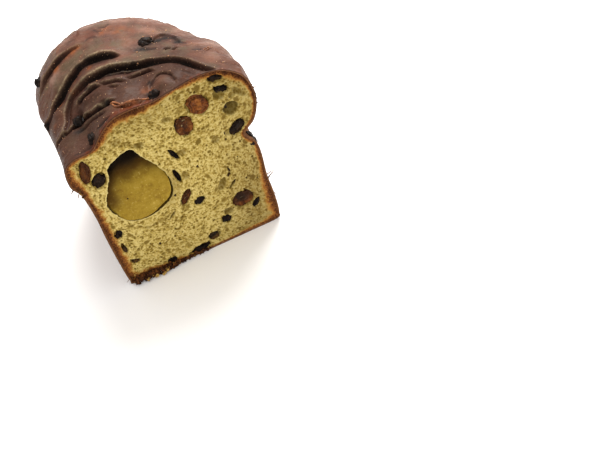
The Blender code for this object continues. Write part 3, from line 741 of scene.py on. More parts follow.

# %% [markdown]
# ## The finish of the crust
#
# The crown was brushed with a glaze and baked dark. Its colour wanders slowly between purple brown and a
# warm reddish brown, and where a layer of dough pulled open late in the oven the paler dough shows orange.
# Light and shade are painted on as well: a painted highlight on the crests of the rolls, an olive grey on
# the rolls that is partly painted sheen, painted sheen on the back and right of the crown, painted shade
# on its front and its left, dark brown painted shade in the valleys in front of the rolls, and nearly black
# painted shade in the creases, slits and holes. The tin kept the walls a lighter, drier brown. Soft round
# spots say where each of these paints lies.

# %% Paint spots on the crown
PAINT = hundredths({  # for each paint: across, back, up and the radius of every spot
    "orange": [
        (27.9, 64.1, 117.5, 2.6), (31.5, 64.6, 118.2, 2), (24.5, 64.1, 116.6, 2), (54.5, 69, 117.2, 4),
        (50, 71.5, 118, 3.4), (58.5, 67, 116, 2.6), (45.5, 69, 119, 2.2), (16, 63, 112, 2.2),
        (7.5, 43.5, 102.8, 2), (10, 44, 104.2, 1.8), (20.5, 42.5, 109, 2), (23.5, 44.5, 111, 1.8),
        (33, 44, 115, 1.8), (28, 45, 113.5, 1.8), (5.5, 33, 97, 2), (47, 3.5, 113.5, 2.2),
        (42.5, 4.5, 113, 2.4), (38.5, 7.5, 113, 2), (51.5, 3, 113.5, 1.8), (56, 9.5, 113.5, 1.6),
        (54, 11.5, 113.5, 2), (73.5, 4, 116, 1), (25, 20, 108, 1.4)],
    # the olive grey of the rolls, partly painted sheen on their tops
    "olive": [
        (16, 52.5, 109, 6), (26, 56, 115, 5.5), (36, 56, 117, 5), (19, 41.8, 109, 2.6),
        (13, 38.5, 103, 3.6), (28, 40.4, 113, 2.6), (38, 40, 115.5, 2.6), (62, 37, 115, 5),
        (72, 32, 115.5, 4.5), (21, 59, 113.5, 4), (23, 41, 111, 2.4), (33, 40.2, 114.5, 2.4),
        (31, 60, 117, 4), (42, 58, 118, 4), (50, 56, 117, 3.6), (44, 39.5, 116, 2.6), (52, 39, 115, 3.6),
        (60, 40, 115, 4), (83, 43, 112, 2.2), (80, 30, 115, 3), (30, 21, 110, 3), (10, 14, 98, 5),
        (18, 17, 102, 4), (7, 62, 106, 3), (42, 62, 118, 3)],
    "shade": [
        (50, 24, 114, 6), (40, 23, 113.5, 5.5), (72, 14, 115.5, 5), (30, 25, 110, 5), (22, 30, 107, 5),
        (64, 24, 114.5, 4.5), (80, 5, 116.7, 4), (24, 14, 107, 5), (12, 19, 99, 6), (76, 54, 111.5, 3),
        (71, 49, 114, 2.5), (80, 50, 111, 2.5), (5, 13, 93, 6), (9, 66, 109, 3), (17, 67, 114, 2.6),
        (39, 10, 113, 2.4), (56, 23, 114, 3), (70, 10, 116, 4), (45, 43.5, 115.5, 2.8),
        (39, 44.2, 115.5, 3), (33, 44.8, 115, 3), (27, 45.2, 113.5, 3), (21, 45, 110, 3),
        (16, 44.5, 107, 2.8), (11, 40, 103, 2.6), (52, 34, 115, 3.4), (44, 33.5, 115, 3.4),
        (36, 34, 114, 3.4), (28, 34.5, 112, 3.4), (60, 31, 115, 3.4)],
    # painted sheen on the back and the right of the crown
    "pale": [
        (13, 60, 110, 5), (95, 33, 108, 6), (99, 45, 98, 7), (86, 64, 105, 8), (74, 79, 109, 8),
        (58, 83, 114, 7), (100, 20, 106, 6), (40, 83, 117, 5), (25, 78, 116, 4), (5, 68, 106, 4),
        (70, 64, 112, 6), (92, 15, 114, 4)],
    "warm": [
        (2, 50, 98, 6), (0, 40, 90, 6), (0, 30, 85, 5), (63.6, 8.5, 114.8, 3.6), (48, 17, 114, 2.6),
        (35, 20, 113.6, 2.4), (90, 12, 115, 6), (82, 20, 116, 5), (56, 54, 116, 6), (60, 62, 115, 6),
        (21, 75, 114, 5), (10, 38.5, 102, 3), (70, 62, 112, 6), (86, 34, 113, 5), (53, 46, 116, 3)],
    "torn": [
        (52, 1, 113.4, 2.2), (48, 1.2, 113.6, 2.4), (44, 1.4, 113.8, 2.6), (40, 2, 113.4, 2.6),
        (36.5, 2.5, 112.8, 2.2), (33.5, 2, 111.8, 1.8), (80, 0.2, 116.8, 1.2), (76, 0.2, 116.6, 1),
        (20, 0.4, 101, 1.8), (16, 0.6, 99.8, 1.4), (30, 0.4, 111, 1.8), (26.5, 0.4, 108.2, 1.6)],
    # burnt crust on the arch, and painted shade in the holes and deepest creases
    "scorch": [
        (69.2, 48.2, 114.1, 1.8), (72, 48.7, 113.7, 1.8), (75.3, 50.2, 112.7, 1.8), (78, 50.2, 111.7, 1.8),
        (66, 47.5, 114.5, 1.8), (64.8, 50, 114, 2.8), (80, 42, 112, 2.4), (82, 40, 112.8, 1.4),
        (83.4, 37.8, 113, 0.9), (73.3, 37, 114.8, 1.2), (76.4, 34.1, 115, 1.1), (32.2, 15, 112, 2.4),
        (17, 27.5, 102.5, 4), (47, 35, 115, 3), (54, 33.5, 114.5, 2.6), (41, 36, 115.5, 2.4),
        (34, 50.5, 116, 2.8), (28, 50, 114.5, 2.4), (16, 20, 100, 3), (0, 43, 95, 2.4),
        (57, 14.5, 114, 1.8), (55, 6.5, 113, 1.8), (95.9, 20.7, 111.4, 0.7), (12, 47, 105.2, 2),
        (86, 2.8, 116.5, 1.6), (62, 45.5, 115, 2.4)],
})


def spot_field(points, spots):
    """How strongly each point is painted by soft round spots, from 0 to 1."""
    found = np.zeros(len(points))
    for *spot, radius in spots:
        found = np.maximum(found, round_spot(points, spot, radius))
    return found


def crust_finish():
    crust = Finish("glazed_crust", IOR=1.45, Specular_IOR_Level=0.09, Coat_Roughness=0.22)
    large = crust.grain(0.026, detail=2.0)
    medium = crust.grain(0.007)
    fine = crust.grain(0.0014, detail=4.0, roughness=0.65)
    dusty = crust.grain(0.010, detail=4.0, roughness=0.6)
    crown, crease, inside, streak, torn = (
        crust.attribute(label) for label in ("crown", "crease", "valley", "streak", "torn"))
    mottle = large * 0.42 + medium * 0.40 + streak * 0.18
    colour = crust.ramp(mottle, [
        (0.34, (62, 38, 29)), (0.47, (84, 54, 42)), (0.58, (100, 67, 53)), (0.70, (116, 82, 67))])
    spread = 0.55 + 0.9 * crust.step(medium, 0.35, 0.65)
    # the pale spots are painted sheen
    for paint, strength, shade in (
        ("pale", 0.55, (150, 118, 104)), ("warm", 0.60, (116, 76, 56)),
        ("shade", 0.84, (48, 29, 21)), ("olive", 0.78, (84, 71, 52)),
    ):
        colour = crust.mix((crust.attribute(paint) * spread).limited() * strength, colour, shade)
    # painted shade in the valleys: dark brown, nearly black where they are deepest
    valley = inside + (streak - 0.5) * 0.55 * crust.step(inside, 0.0, 0.3)
    depth = crust.ramp(valley * (0.5 + crust.step(large, 0.36, 0.62) * 0.5) + medium * 0.3 - 0.15, [
        (0.10, (66, 41, 30)), (0.40, (54, 29, 20)), (0.85, (20, 14, 11))])
    amber = crust.attribute("orange") * (0.15 + 1.3 * crust.step(mottle, 0.42, 0.60))
    # scorched crust, and painted shade in the holes and deepest creases
    soot_and_shade = crust.attribute("scorch") * (0.5 + crust.step(medium, 0.38, 0.6))
    colour = crust.layered(
        colour,
        (crust.step(dusty, 0.50, 0.66) * 0.45, (94, 80, 62)),
        (crust.step(dusty, 0.46, 0.32) * 0.45, (98, 52, 36)),
        # painted shade on the front and the left of the crown
        (crust.attribute("front") * 0.72, (60, 36, 24)),
        # painted shade in the valleys
        (crust.step(valley, 0.02, 0.34) * 0.90, depth),
        (amber.limited() * 0.70, (130, 70, 32)),
        (torn * 0.9, (92, 38, 8)),
        # painted highlight on the crests of the rolls
        (crust.attribute("crest") * (0.25 + 0.7 * crust.step(fine, 0.4, 0.6)), (142, 123, 94)),
        (soot_and_shade.limited() * 0.85, (24, 17, 13)),
        # painted shade in the creases
        (crust.step(crease, 0.30, 0.95) * 0.9, (20, 12, 9)),
        # painted shade in the cracks and holes, and burnt black along the arch
        (crust.attribute("black") * 0.9, (22, 14, 11)),
    )
    wall = crust.layered(
        crust.ramp(large * 0.30 + medium * 0.25 + fine * 0.45, [
            (0.36, (80, 50, 29)), (0.50, (109, 71, 42)), (0.64, (140, 97, 60))]),
        (crust.step(dusty, 0.56, 0.70) * 0.45, (66, 41, 26)),
        (crust.step(crust.cells(0.004), 0.16, 0.05) * 0.5, (58, 35, 21)),
        (crust.step(crust.attribute("low"), 0.2, 0.9) * 0.55, (54, 32, 19)),
    )
    colour = crust.layered(
        crust.mix(crust.step(crown + (medium - 0.5) * 1.1, 0.25, 0.80), wall, colour),
        (crust.step(fine, 0.60, 0.70) * 0.35, (140, 104, 78)),
        (crust.step(fine, 0.40, 0.30) * 0.35, (38, 24, 18)),
    )
    gloss = crust.step(crown, 0.3, 0.8) * (1 - crust.step(crease, 0.2, 0.7))
    return crust.finish(
        Base_Color=colour,
        Roughness=0.62 - gloss * 0.14 + fine * 0.12 - torn * 0.25,
        Coat_Weight=gloss * 0.045,
        Normal=crust.bump(medium, 0.0016, 0.6, crust.bump(fine, 0.0005, 0.6)),
    )


def with_inner(values):
    """Numbers for the outer skin, with nought for all the points of the inner skin and the poles."""
    return np.concatenate([values, np.zeros(len(crust_points) - len(values))])


marks["low"] = 1 - smooth_step(0.0, 0.10, skin[:, 2])
# the painted highlight of the crests is weaker towards the right
marks["crest"] *= 1 - 0.6 * smooth_step(0.45, 0.62, skin[:, 0])
# Painted shade on the front of the crown and on its left side, less of it on the blister.
marks["front"] = np.maximum(smooth_step(0.40, 0.22, skin[:, 1]) * smooth_step(0.95, 0.72, skin[:, 0]),
                            smooth_step(0.22, 0.05, skin[:, 0]) * smooth_step(0.60, 0.45, skin[:, 1]))
marks["front"] *= 1 - 0.5 * spot_field(skin, [(0.636, 0.085, 1.148, 0.055)])
marks.update({paint: spot_field(skin, spots) for paint, spots in PAINT.items()})
crust = piece(
    "crust", to_frame(crust_points), crust_faces,
    {label: with_inner(values) for label, values in marks.items()},
    nodes=("bread",), finish=crust_finish(),
)

# %% [markdown]
# ## Fields over the cut face
#
# The knife opened thousands of pores in the crumb. Modelling each as a piece would be hopeless, so the cut
# face is first drawn as fields: one table for how deep the surface lies at every fifth of a millimetre, and
# others for where it is brown, moist or burnt. A fine mesh then takes its depths and colours from these
# tables. Places on the face are in millimetres from the left end of the base: across and up.

# %% The table of places and the tunnel
SHARE = WIDTH / MM
FIELD_STEP = 0.2
COARSE_STEP = 1.0
FIELD_LEFT, FIELD_RIGHT, FIELD_TOP = -6.0, 114.0, 126.0
LEAST_CLEARANCE = 0.35
SPOTS_AT_A_TIME = 4000


def table_places(step):
    """Where the places of a table lie across and up, and the same places as a list of spots."""
    across, up = np.meshgrid(np.arange(FIELD_LEFT, FIELD_RIGHT, step), np.arange(0, FIELD_TOP, step))
    return across, up, np.column_stack([across.ravel(), up.ravel()])


ACROSS, UP, FINE_SPOTS = table_places(FIELD_STEP)

TUNNEL_OUTLINE = hundredths([
    (15.6, 49.2), (12.2, 56), (10.8, 62.5), (12.8, 68.5), (15.5, 74.2), (18.7, 80), (20.5, 86.2),
    (25.5, 89.3), (34.5, 91.8), (38.5, 84.5), (43, 76.5), (45.8, 69), (46.6, 61), (44.2, 52.5), (38, 47.8),
    (29, 45), (21.5, 45.7)
])
PASTE_CLEARANCE = [0.4, 0.5, 0.8, 0.9, 0.9, 1.4, 3.8, 5.5, 8.4, 3.4, 1.0, 0.7, 1.1, 1.7, 1.9, 1.2, 0.4]
TUNNEL_HEART = np.array((0.285, 0.660)) * SHARE
TUNNEL_COLUMNS = 320

tunnel_places = np.arange(TUNNEL_COLUMNS) * len(TUNNEL_OUTLINE) / TUNNEL_COLUMNS
tunnel_line = curve_at(TUNNEL_OUTLINE, tunnel_places) * SHARE
clearance = curve_at([(0.0, gap) for gap in PASTE_CLEARANCE], tunnel_places)[:, 1]
clearance = np.maximum(clearance, LEAST_CLEARANCE)
tunnel_out = (tunnel_line - TUNNEL_HEART) / np.linalg.norm(tunnel_line - TUNNEL_HEART, axis=1)[:, None]
rim_line = curve_at(CUT_OUTLINE, places) * SHARE


def on_face(spots, back=0.0):
    """Flat spots on the cut face as points in space, in millimetres."""
    return np.column_stack([spots[:, 0], np.full(len(spots), back), spots[:, 1]])


ragged_edge = 0.40 * fractal(on_face(tunnel_line), 2.4, 44) + 0.22 * noise(on_face(tunnel_line), 0.9, 45)
tunnel_line = tunnel_line + tunnel_out * ragged_edge[:, None]


def sample(field, spots, step=FIELD_STEP):
    """The value of a table at any spots, blended between its four nearest places."""
    column = np.clip((spots[:, 0] - FIELD_LEFT) / step, 0, field.shape[1] - 1.001)
    row = np.clip(spots[:, 1] / step, 0, field.shape[0] - 1.001)
    left, low = column.astype(int), row.astype(int)
    right_share, up_share = column - left, row - low
    lower = field[low, left] * (1 - right_share) + field[low, left + 1] * right_share
    upper = field[low + 1, left] * (1 - right_share) + field[low + 1, left + 1] * right_share
    return lower * (1 - up_share) + upper * up_share


def line_gaps(line, spots):
    """How far each spot is inside a closed clockwise line, and which way the line runs there."""
    around = np.roll(line, -1, axis=0) - np.roll(line, 1, axis=0)
    around /= np.linalg.norm(around, axis=1)[:, None]
    gaps = np.empty(len(spots))
    runs = np.empty(len(spots))
    for start in range(0, len(spots), SPOTS_AT_A_TIME):
        some = spots[start : start + SPOTS_AT_A_TIME]
        apart = ((some[:, None] - line) ** 2).sum(2)
        nearest = apart.argmin(1)
        offset = some - line[nearest]
        inside = np.sign(around[nearest, 1] * offset[:, 0] - around[nearest, 0] * offset[:, 1])
        gaps[start : start + len(some)] = inside * np.sqrt(apart.min(1))
        runs[start : start + len(some)] = np.arctan2(around[nearest, 1], around[nearest, 0])
    return gaps, runs


coarse_across, _, coarse_spots = table_places(COARSE_STEP)
rim_gap, rim_run = line_gaps(rim_line, coarse_spots)
tunnel_gap, tunnel_run = line_gaps(tunnel_line, coarse_spots)
tunnel_gap = -tunnel_gap
near_tunnel = bell(np.maximum(tunnel_gap, 0) / 16)
near_rim = bell(np.maximum(rim_gap, 0) / 14) + 0.12
flow = near_tunnel * np.exp(2j * tunnel_run) + near_rim * np.exp(2j * rim_run)
flow += 0.35 * np.exp(2j * math.pi * noise(on_face(coarse_spots), 14, 41))
flow = (np.angle(flow) / 2).reshape(coarse_across.shape)
rim_gap = rim_gap.reshape(coarse_across.shape)
tunnel_gap = tunnel_gap.reshape(coarse_across.shape)
fine_rim_gap = sample(rim_gap, FINE_SPOTS, COARSE_STEP).reshape(ACROSS.shape)
fine_tunnel_gap = sample(tunnel_gap, FINE_SPOTS, COARSE_STEP).reshape(ACROSS.shape)
print("deepest spot inside the rim, in mm:", round(rim_gap.max(), 1))

# %% [markdown]
# A pore is a shallow oval bowl. Where two bowls meet, the deeper one wins, which leaves the thin webs
# between pores that make bread look like bread. The bowls lie along the swirl that rolling the dough gave
# the crumb.

# %% Pores, bubbles, creases
PORES = (  # how many, half lengths from and to, how slender, how deep for their width
    (8500, 0.40, 0.80, (0.45, 0.90), 0.80),
    (1500, 0.75, 1.35, (0.40, 0.80), 0.65),
    (110, 1.30, 2.40, (0.40, 0.80), 0.45),
    (320, 0.40, 0.80, (0.45, 0.90), 2.00),
)
BUBBLES = [  # across, up, width, height, turn in degrees and depth
    (94.4, 95.4, 8.8, 9, 15, 3.4), (73, 24.2, 6, 5.8, 0, 2.3), (75.6, 47.2, 4.4, 11, -30, 2),
    (101, 103.6, 3.6, 10, 42, 1.6), (97, 103.4, 4.4, 4.4, 0, 1.4), (60.6, 80.6, 5.2, 4, -20, 1.6),
    (31.6, 103.4, 6.4, 4, 15, 1.2), (36.2, 100.2, 3.2, 3, 0, 1), (41.4, 96.4, 6, 3.8, -10, 1.8),
    (80.6, 79.6, 4.8, 5, 0, 1.6), (88.6, 81, 4.6, 4, 0, 1.4), (57.8, 64.6, 4.8, 7, 10, 1.5),
    (50.4, 61.6, 2.8, 4.4, 0, 0.8), (82, 55.2, 1.6, 5, 10, 1.6), (81, 52, 1.4, 4.6, -25, 1.8),
    (81.4, 43.8, 1.8, 8, -42, 2.8), (41.4, 40, 1.4, 6.4, -48, 2.6), (45.6, 35.2, 1.2, 3.6, -45, 1.8),
    (92.2, 44, 1.6, 2, 0, 1.2), (84, 66.4, 1.6, 1.6, 0, 1.2), (52, 110.6, 5, 3.4, -25, 1),
    (60.4, 104.6, 6, 3, -15, 1.6), (90.4, 106.6, 7, 5.6, -30, 2), (7.4, 31, 2.6, 10, 0, 3),
]
CREASES = [  # its width, its depth and the line that it follows
    (1.1, 1.5, [(20.5, 41.6), (24, 39.8), (28, 38.6), (32, 39.4), (36, 39.8), (40, 42)]),
    (0.7, 1, [(30, 36), (34, 35.8), (38, 37.6)]),
    (0.9, 1.2, [(47.8, 49), (50.6, 55), (51.6, 62), (50.6, 70)]),
    (0.7, 0.9, [(24, 103), (28.5, 108.4), (33, 112)]),
    (0.8, 0.8, [(60, 31), (70, 32.6), (79, 37)]),
]
pore_source = np.random.default_rng(7)
bowls = np.zeros(ACROSS.shape)
hollows = np.zeros(ACROSS.shape)
bubble_shade = np.zeros(ACROSS.shape)


def oval(spot, long, wide, turn):
    """A window of the table round an oval, and how far inside the oval each place lies, 1 at its middle."""
    reach = int(max(long, wide) * 1.5 / FIELD_STEP) + 2
    row, column = int(spot[1] / FIELD_STEP), int((spot[0] - FIELD_LEFT) / FIELD_STEP)
    rows = slice(max(row - reach, 0), max(row + reach, 1))
    window = (rows, slice(max(column - reach, 0), column + reach))
    right, above = ACROSS[window] - spot[0], UP[window] - spot[1]
    along = right * math.cos(turn) + above * math.sin(turn)
    aside = above * math.cos(turn) - right * math.sin(turn)
    return window, 1 - (along / long) ** 2 - (aside / wide) ** 2


def uneven_in(window, size, seed):
    """Noise over a window of the table."""
    spots = np.dstack([ACROSS[window], UP[window], UP[window] * 0]).reshape(-1, 3)
    return noise(spots, size, seed).reshape(ACROSS[window].shape)


def draw_pores():
    for count, smallest, largest, slender, depth in PORES:
        spots = pore_source.uniform((FIELD_LEFT, 0), (FIELD_RIGHT, FIELD_TOP), (count * 2, 2))
        gaps = np.minimum(sample(rim_gap, spots, COARSE_STEP), sample(tunnel_gap, spots, COARSE_STEP))
        turns = sample(flow, spots, COARSE_STEP) + pore_source.normal(0, 0.35, len(spots))
        longs = smallest + (largest - smallest) * pore_source.uniform(0, 1, len(spots)) ** 1.8
        wides = longs * pore_source.uniform(*slender, len(spots))
        deeps = wides * depth * pore_source.uniform(0.5, 1.3, len(spots))
        for spot, gap, turn, long, wide, deep in zip(spots, gaps, turns, longs, wides, deeps):
            if gap > 0.8 * long:
                window, inside = oval(spot, long, wide, turn)
                bowls[window] = np.maximum(bowls[window], deep * np.sqrt(np.maximum(inside, 0)))


def draw_bubbles():
    for across, up, width, height, turn, depth in BUBBLES:
        window, inside = oval((across, up), width / 2, height / 2, math.radians(turn))
        inside = inside + 0.25 * uneven_in(window, 2.2, 51)
        hollows[window] = np.maximum(hollows[window], depth * np.sqrt(np.clip(inside, 0, 1)))
        # painted shade in the bubble, darker towards its upper left
        strength = min(depth / 3.0, 1.0) ** 1.5
        height_share = (UP[window] - up + 0.5 * (across - ACROSS[window])) / height
        shade = strength * smooth_step(0.0, 0.18, inside) * (0.75 + 0.6 * height_share)
        bubble_shade[window] = np.maximum(bubble_shade[window], np.clip(shade, 0, 1))


def draw_creases():
    for width, depth, corners in CREASES:
        line = line_through(corners, 0.4)
        for share, spot in zip(np.linspace(0, 1, len(line)), line):
            window, inside = oval(spot, width * 0.8, width * 0.8, 0)
            deep = depth * math.sin(math.pi * share) ** 0.5
            hollows[window] = np.maximum(hollows[window], deep * np.sqrt(np.maximum(inside, 0)))


draw_pores()
draw_bubbles()
draw_creases()
print("mean depth of the pores, in mm:", round(bowls[(fine_rim_gap > 1) & (fine_tunnel_gap > 1)].mean(), 2))

# %% [markdown]
# Every fruit in the cut lies in a pocket of its own. The CAD model says where it is and how large, so its
# long and short axes are measured on the CAD mesh.

# %% Measure the fruit
FACE_FRUIT = [
    "sultana_crown", "sultana_upper", "sultana_right", "sultana_left", "sultana_middle", "raisin_by_paste",
    "raisin_lobe", "raisin_slit", "raisin_hollow", "raisin_top", "raisin_arc", "raisin_base", "raisin_low",
    "raisin_corner", "currant_right", "currant_low", "currant_left", "currant_middle", "currant_base"]
CRUST_FRUIT = [
    "raisin_rim", "raisin_rim_left", "raisin_burnt", "raisin_fold", "raisin_side", "currant_side",
    "raisin_notch"]


def fruit_form(node):
    """A fruit's middle, half lengths along its own axes, and axes, measured on its CAD mesh."""
    points = np.array([vertex.co for vertex in bpy.data.objects[node].data.vertices])
    flat = points[:, [0, 2]]
    middle = (flat.max(0) + flat.min(0)) / 2
    turn = np.linalg.eigh(np.cov((flat - middle).T))[1].T
    spans = np.array([[((flat - middle) @ axis).min(), ((flat - middle) @ axis).max()] for axis in turn])
    middle = middle + (spans.mean(1)[:, None] * turn).sum(0)
    half = (spans[:, 1] - spans[:, 0]) / 2
    front, back = points[:, 1].min(), points[:, 1].max()
    return {"middle": middle, "half": half, "turn": turn, "front": front, "back": back}


forms = {node: fruit_form(node) for node in FACE_FRUIT}
pockets = np.zeros(ACROSS.shape)
fruit_near = np.zeros(ACROSS.shape)


def draw_pockets():
    for number, form in enumerate(forms.values()):
        front = (form["front"] - FACE_Y) / MM
        middle = form["middle"] / MM + [CENTRE_X / MM - 0.11 * front, 0.6 * front]
        half = form["half"] / MM
        turn = math.atan2(form["turn"][0][1], form["turn"][0][0])
        window, inside = oval(middle, half[0] * 1.08 + 0.2, half[1] * 1.08 + 0.2, turn)
        inside = inside + 0.22 * uneven_in(window, 1.8, 60 + number)
        pockets[window] = np.maximum(pockets[window], (front + 1.9) * smooth_step(0.0, 0.32, inside))
        fruit_near[window] = np.maximum(fruit_near[window], smooth_step(-0.5, 0.1, inside))


draw_pockets()
print({node: (form["half"] * 2 / MM).round(1).tolist() for node, form in list(forms.items())[:4]})

# %% [markdown]
# The oven browned the crumb just inside the crust, more under the crown and at the lower left, where the
# crust is thick. The paste made the crumb beside it moist and darker. Painted shade makes the crumb darker
# in the pores, the bubbles, the creases, round the fruit and inside the tunnel, towards the right and the
# top, and in a patch at the lower right corner, and the webs between the pores get a painted highlight.

# %% Browning, moisture and painted shade
BROWN_DEPTHS = [  # across, up, the reach of the spot, and how much deeper the crumb is brown there
    (98, 113, 17, 2.6), (76, 120, 12, 0.6), (47, 116, 11, 3.6), (30, 114, 9, 2.6), (22, 107, 6, 1.2),
    (6, 22, 15, 3.4), (2, 66, 11, 2.6), (3, 46, 13, 3), (4, 90, 9, 4.6), (104, 45, 22, 1.6),
    (106, 18, 16, 5.6), (10, 0, 10, 4.6), (26, 0, 12, 3.2), (80, 3, 20, 0.4),
]
BURNT_SPOTS = [  # across, up, reach and strength
    (46, 115.6, 8, 0.8), (55, 117, 6, 0.9), (38, 113, 5, 0.7), (88, 122, 6, 0.8), (97, 119, 8, 1),
    (105, 112, 8, 1), (109.5, 100, 8, 0.9), (109.5, 92, 6, 0.7), (30, 1, 9, 1), (20, 1, 8, 0.8),
    (9, 1.5, 9, 1), (48, 1, 10, 0.9), (66, 1, 8, 0.6), (104, 20, 6, 0.6), (5, 71, 3.5, 0.6),
    (5.2, 61, 3, 0.8), (5, 50, 3, 0.5), (5, 36, 3, 0.5),
]
RIM_DEPTH = 0.12


def soft_spot(across, up, reach):
    """A soft round spot in the table, 1 in its middle."""
    return np.exp(-(((ACROSS - across) ** 2 + (UP - up) ** 2) / reach**2))


brown_depth = 1.3 * np.ones(ACROSS.shape)
for *spot, more in BROWN_DEPTHS:
    brown_depth += more * soft_spot(*spot)
ragged = fractal(on_face(FINE_SPOTS), 3.0, 71).reshape(ACROSS.shape)
brown = bell(np.maximum(fine_rim_gap - 0.5, 0) / (brown_depth * (1 + 0.45 * ragged)))
burnt = np.zeros(ACROSS.shape)
for *spot, strength in BURNT_SPOTS:
    burnt = np.maximum(burnt, strength * soft_spot(*spot) * smooth_step(0.35, 0.75, brown))
burnt *= smooth_step(-0.7, 0.2, ragged)
right_of_paste = smooth_step(36, 46, ACROSS) * smooth_step(80, 62, UP)
# moist crumb right of the paste, and painted shade in the hollows and round the fruit
moist = 0.9 * right_of_paste * bell(np.maximum(fine_tunnel_gap, 0) / 3.6)
moist = np.maximum(moist, smooth_step(0.3, 1.6, hollows) * 0.9)
moist = np.maximum(moist, 0.35 * smooth_step(0.2, 0.9, fruit_near))
# painted shade: darker towards the right and the top, and in a patch at the lower right
dull = 0.8 * smooth_step(60, 108, ACROSS + 0.25 * (60 - UP)) + 0.5 * smooth_step(94, 114, UP)
dull += 0.9 * np.exp(-(((ACROSS - 103) / 17) ** 2) - ((UP - 20) / 24) ** 2)
bowls *= 1 - 0.7 * right_of_paste * bell(np.maximum(fine_tunnel_gap, 0) / 3.0)
knife = 0.22 * fractal(on_face(FINE_SPOTS), 22.0, 81).reshape(ACROSS.shape)
torn = 0.30 * fractal(on_face(FINE_SPOTS), 2.6, 83).reshape(ACROSS.shape)
depth_field = 0.5 + knife + torn * smooth_step(1.0, 3.0, fine_rim_gap)
depth_field += np.maximum(bowls * smooth_step(0.2, 1.6, fine_rim_gap), hollows)
depth_field = np.maximum(depth_field, pockets)
near_edge = 1 - smooth_step(0.0, 1.6, fine_rim_gap)
depth_field = depth_field * (1 - near_edge) + (RIM_DEPTH + 0.25 * np.maximum(ragged, 0)) * near_edge
depth_field = np.maximum(depth_field, 0.05)
print("deepest pocket, in mm:", round(depth_field.max(), 2))

# %% [markdown]
# ## The crumb
#
# The crumb is one closed body: the fine front, the wall of the tunnel, and a plain outside that hides in
# the crust. The front is a flat net of small triangles laid between the rim and the tunnel, then pushed in
# by the depths above.

# %% Build the crumb
LATTICE = 0.415
JITTER = 0.06
RIM_CLEAR, LIP_CLEAR = 0.45, 0.3
TUNNEL_BACKS = np.r_[0.7, 1.4, 2.2, np.arange(3.2, 30, 1.35), 34, 50, 70, 90, 97.5]
PASTE_BEHIND = 0.014  # from the end of the paste to the end wall
TUNNEL_FAR = (LENGTH - PASTE_BEHIND + 0.0003) / MM
PASTE_GAP_LENGTH = 34.0
TUCK = -0.25 * MM / WIDTH


def tunnel_ring(back, size=1.0):
    """One ring of the tunnel's wall, which comes in to meet the log of paste behind the cut."""
    drop = (clearance - LEAST_CLEARANCE) * smooth_step(0, PASTE_GAP_LENGTH, back)
    around = on_face(tunnel_line, back)
    uneven = 0.5 * fractal(around, 5.0, 91) + 0.35 * fractal(around, 1.3, 92)
    uneven = uneven * smooth_step(40, 20, back) * smooth_step(0.3, 1.2, clearance)
    ring = tunnel_line - tunnel_out * (drop + uneven)[:, None]
    return on_face(TUNNEL_HEART + (ring - TUNNEL_HEART) * size, back)


def tunnel_lip():
    """The tunnel's edge at the cut, with the torn teeth of crumb along its left side."""
    flat = on_face(tunnel_line)
    left = smooth_step(22, 14, tunnel_line[:, 0]) * smooth_step(48, 56, tunnel_line[:, 1])
    teeth = 0.16 * fractal(flat, 1.6, 93) + left * (0.9 * np.maximum(noise(flat, 1.3, 94), 0) - 0.1)
    return tunnel_line - tunnel_out * teeth[:, None]


def ring_edges(first, count):
    """The edges round a ring of points, as pairs of their numbers."""
    return [(first + number, first + (number + 1) % count) for number in range(count)]


def crumb_net():
    """The flat net of the face: its spots and triangles, and how many spots are on the rim and the lip."""
    outside = inner_skin(TUCK)[0][:, [0, 2]] * SHARE
    lip = tunnel_lip()
    rows = np.arange(0.4, FIELD_TOP, LATTICE * math.sqrt(3) / 2)
    columns = np.arange(FIELD_LEFT, FIELD_RIGHT, LATTICE)
    across, up = np.meshgrid(columns, rows)
    across = across + (np.arange(len(rows)) % 2)[:, None] * LATTICE / 2
    spots = np.column_stack([across.ravel(), up.ravel()])
    spots += np.random.default_rng(5).uniform(-JITTER, JITTER, spots.shape)
    clear = sample(rim_gap, spots, COARSE_STEP) > RIM_CLEAR
    clear &= sample(tunnel_gap, spots, COARSE_STEP) > LIP_CLEAR
    spots = spots[clear]
    bounds = ring_edges(0, len(outside)) + ring_edges(len(outside), len(lip))
    every = np.vstack([outside, lip, spots])
    net = delaunay_2d_cdt([Vector(spot) for spot in every], bounds, [], 1, 1e-7)
    placed = np.array([tuple(spot) for spot in net[0]])
    triangles = np.array(net[2])
    middles = placed[triangles].mean(1)
    triangles = triangles[~within(middles, lip)]
    if len(placed) != len(every):
        raise ValueError("two spots of the net fell together")
    return placed, triangles, len(outside), len(lip)


def within(spots, line):
    """Which spots lie inside a closed line, by counting how often a ray to the right crosses it."""
    crossings = np.zeros(len(spots), int)
    for start, end in zip(line, np.roll(line, -1, axis=0)):
        spans = (start[1] > spots[:, 1]) != (end[1] > spots[:, 1])
        share = (spots[:, 1] - start[1]) / (end[1] - start[1] + 1e-12)
        crossings += spans & (spots[:, 0] < start[0] + share * (end[0] - start[0]))
    return crossings % 2 == 1


net_spots, net_faces, rim_count, lip_count = crumb_net()
print("net of the face:", len(net_spots), "spots,", len(net_faces), "triangles")

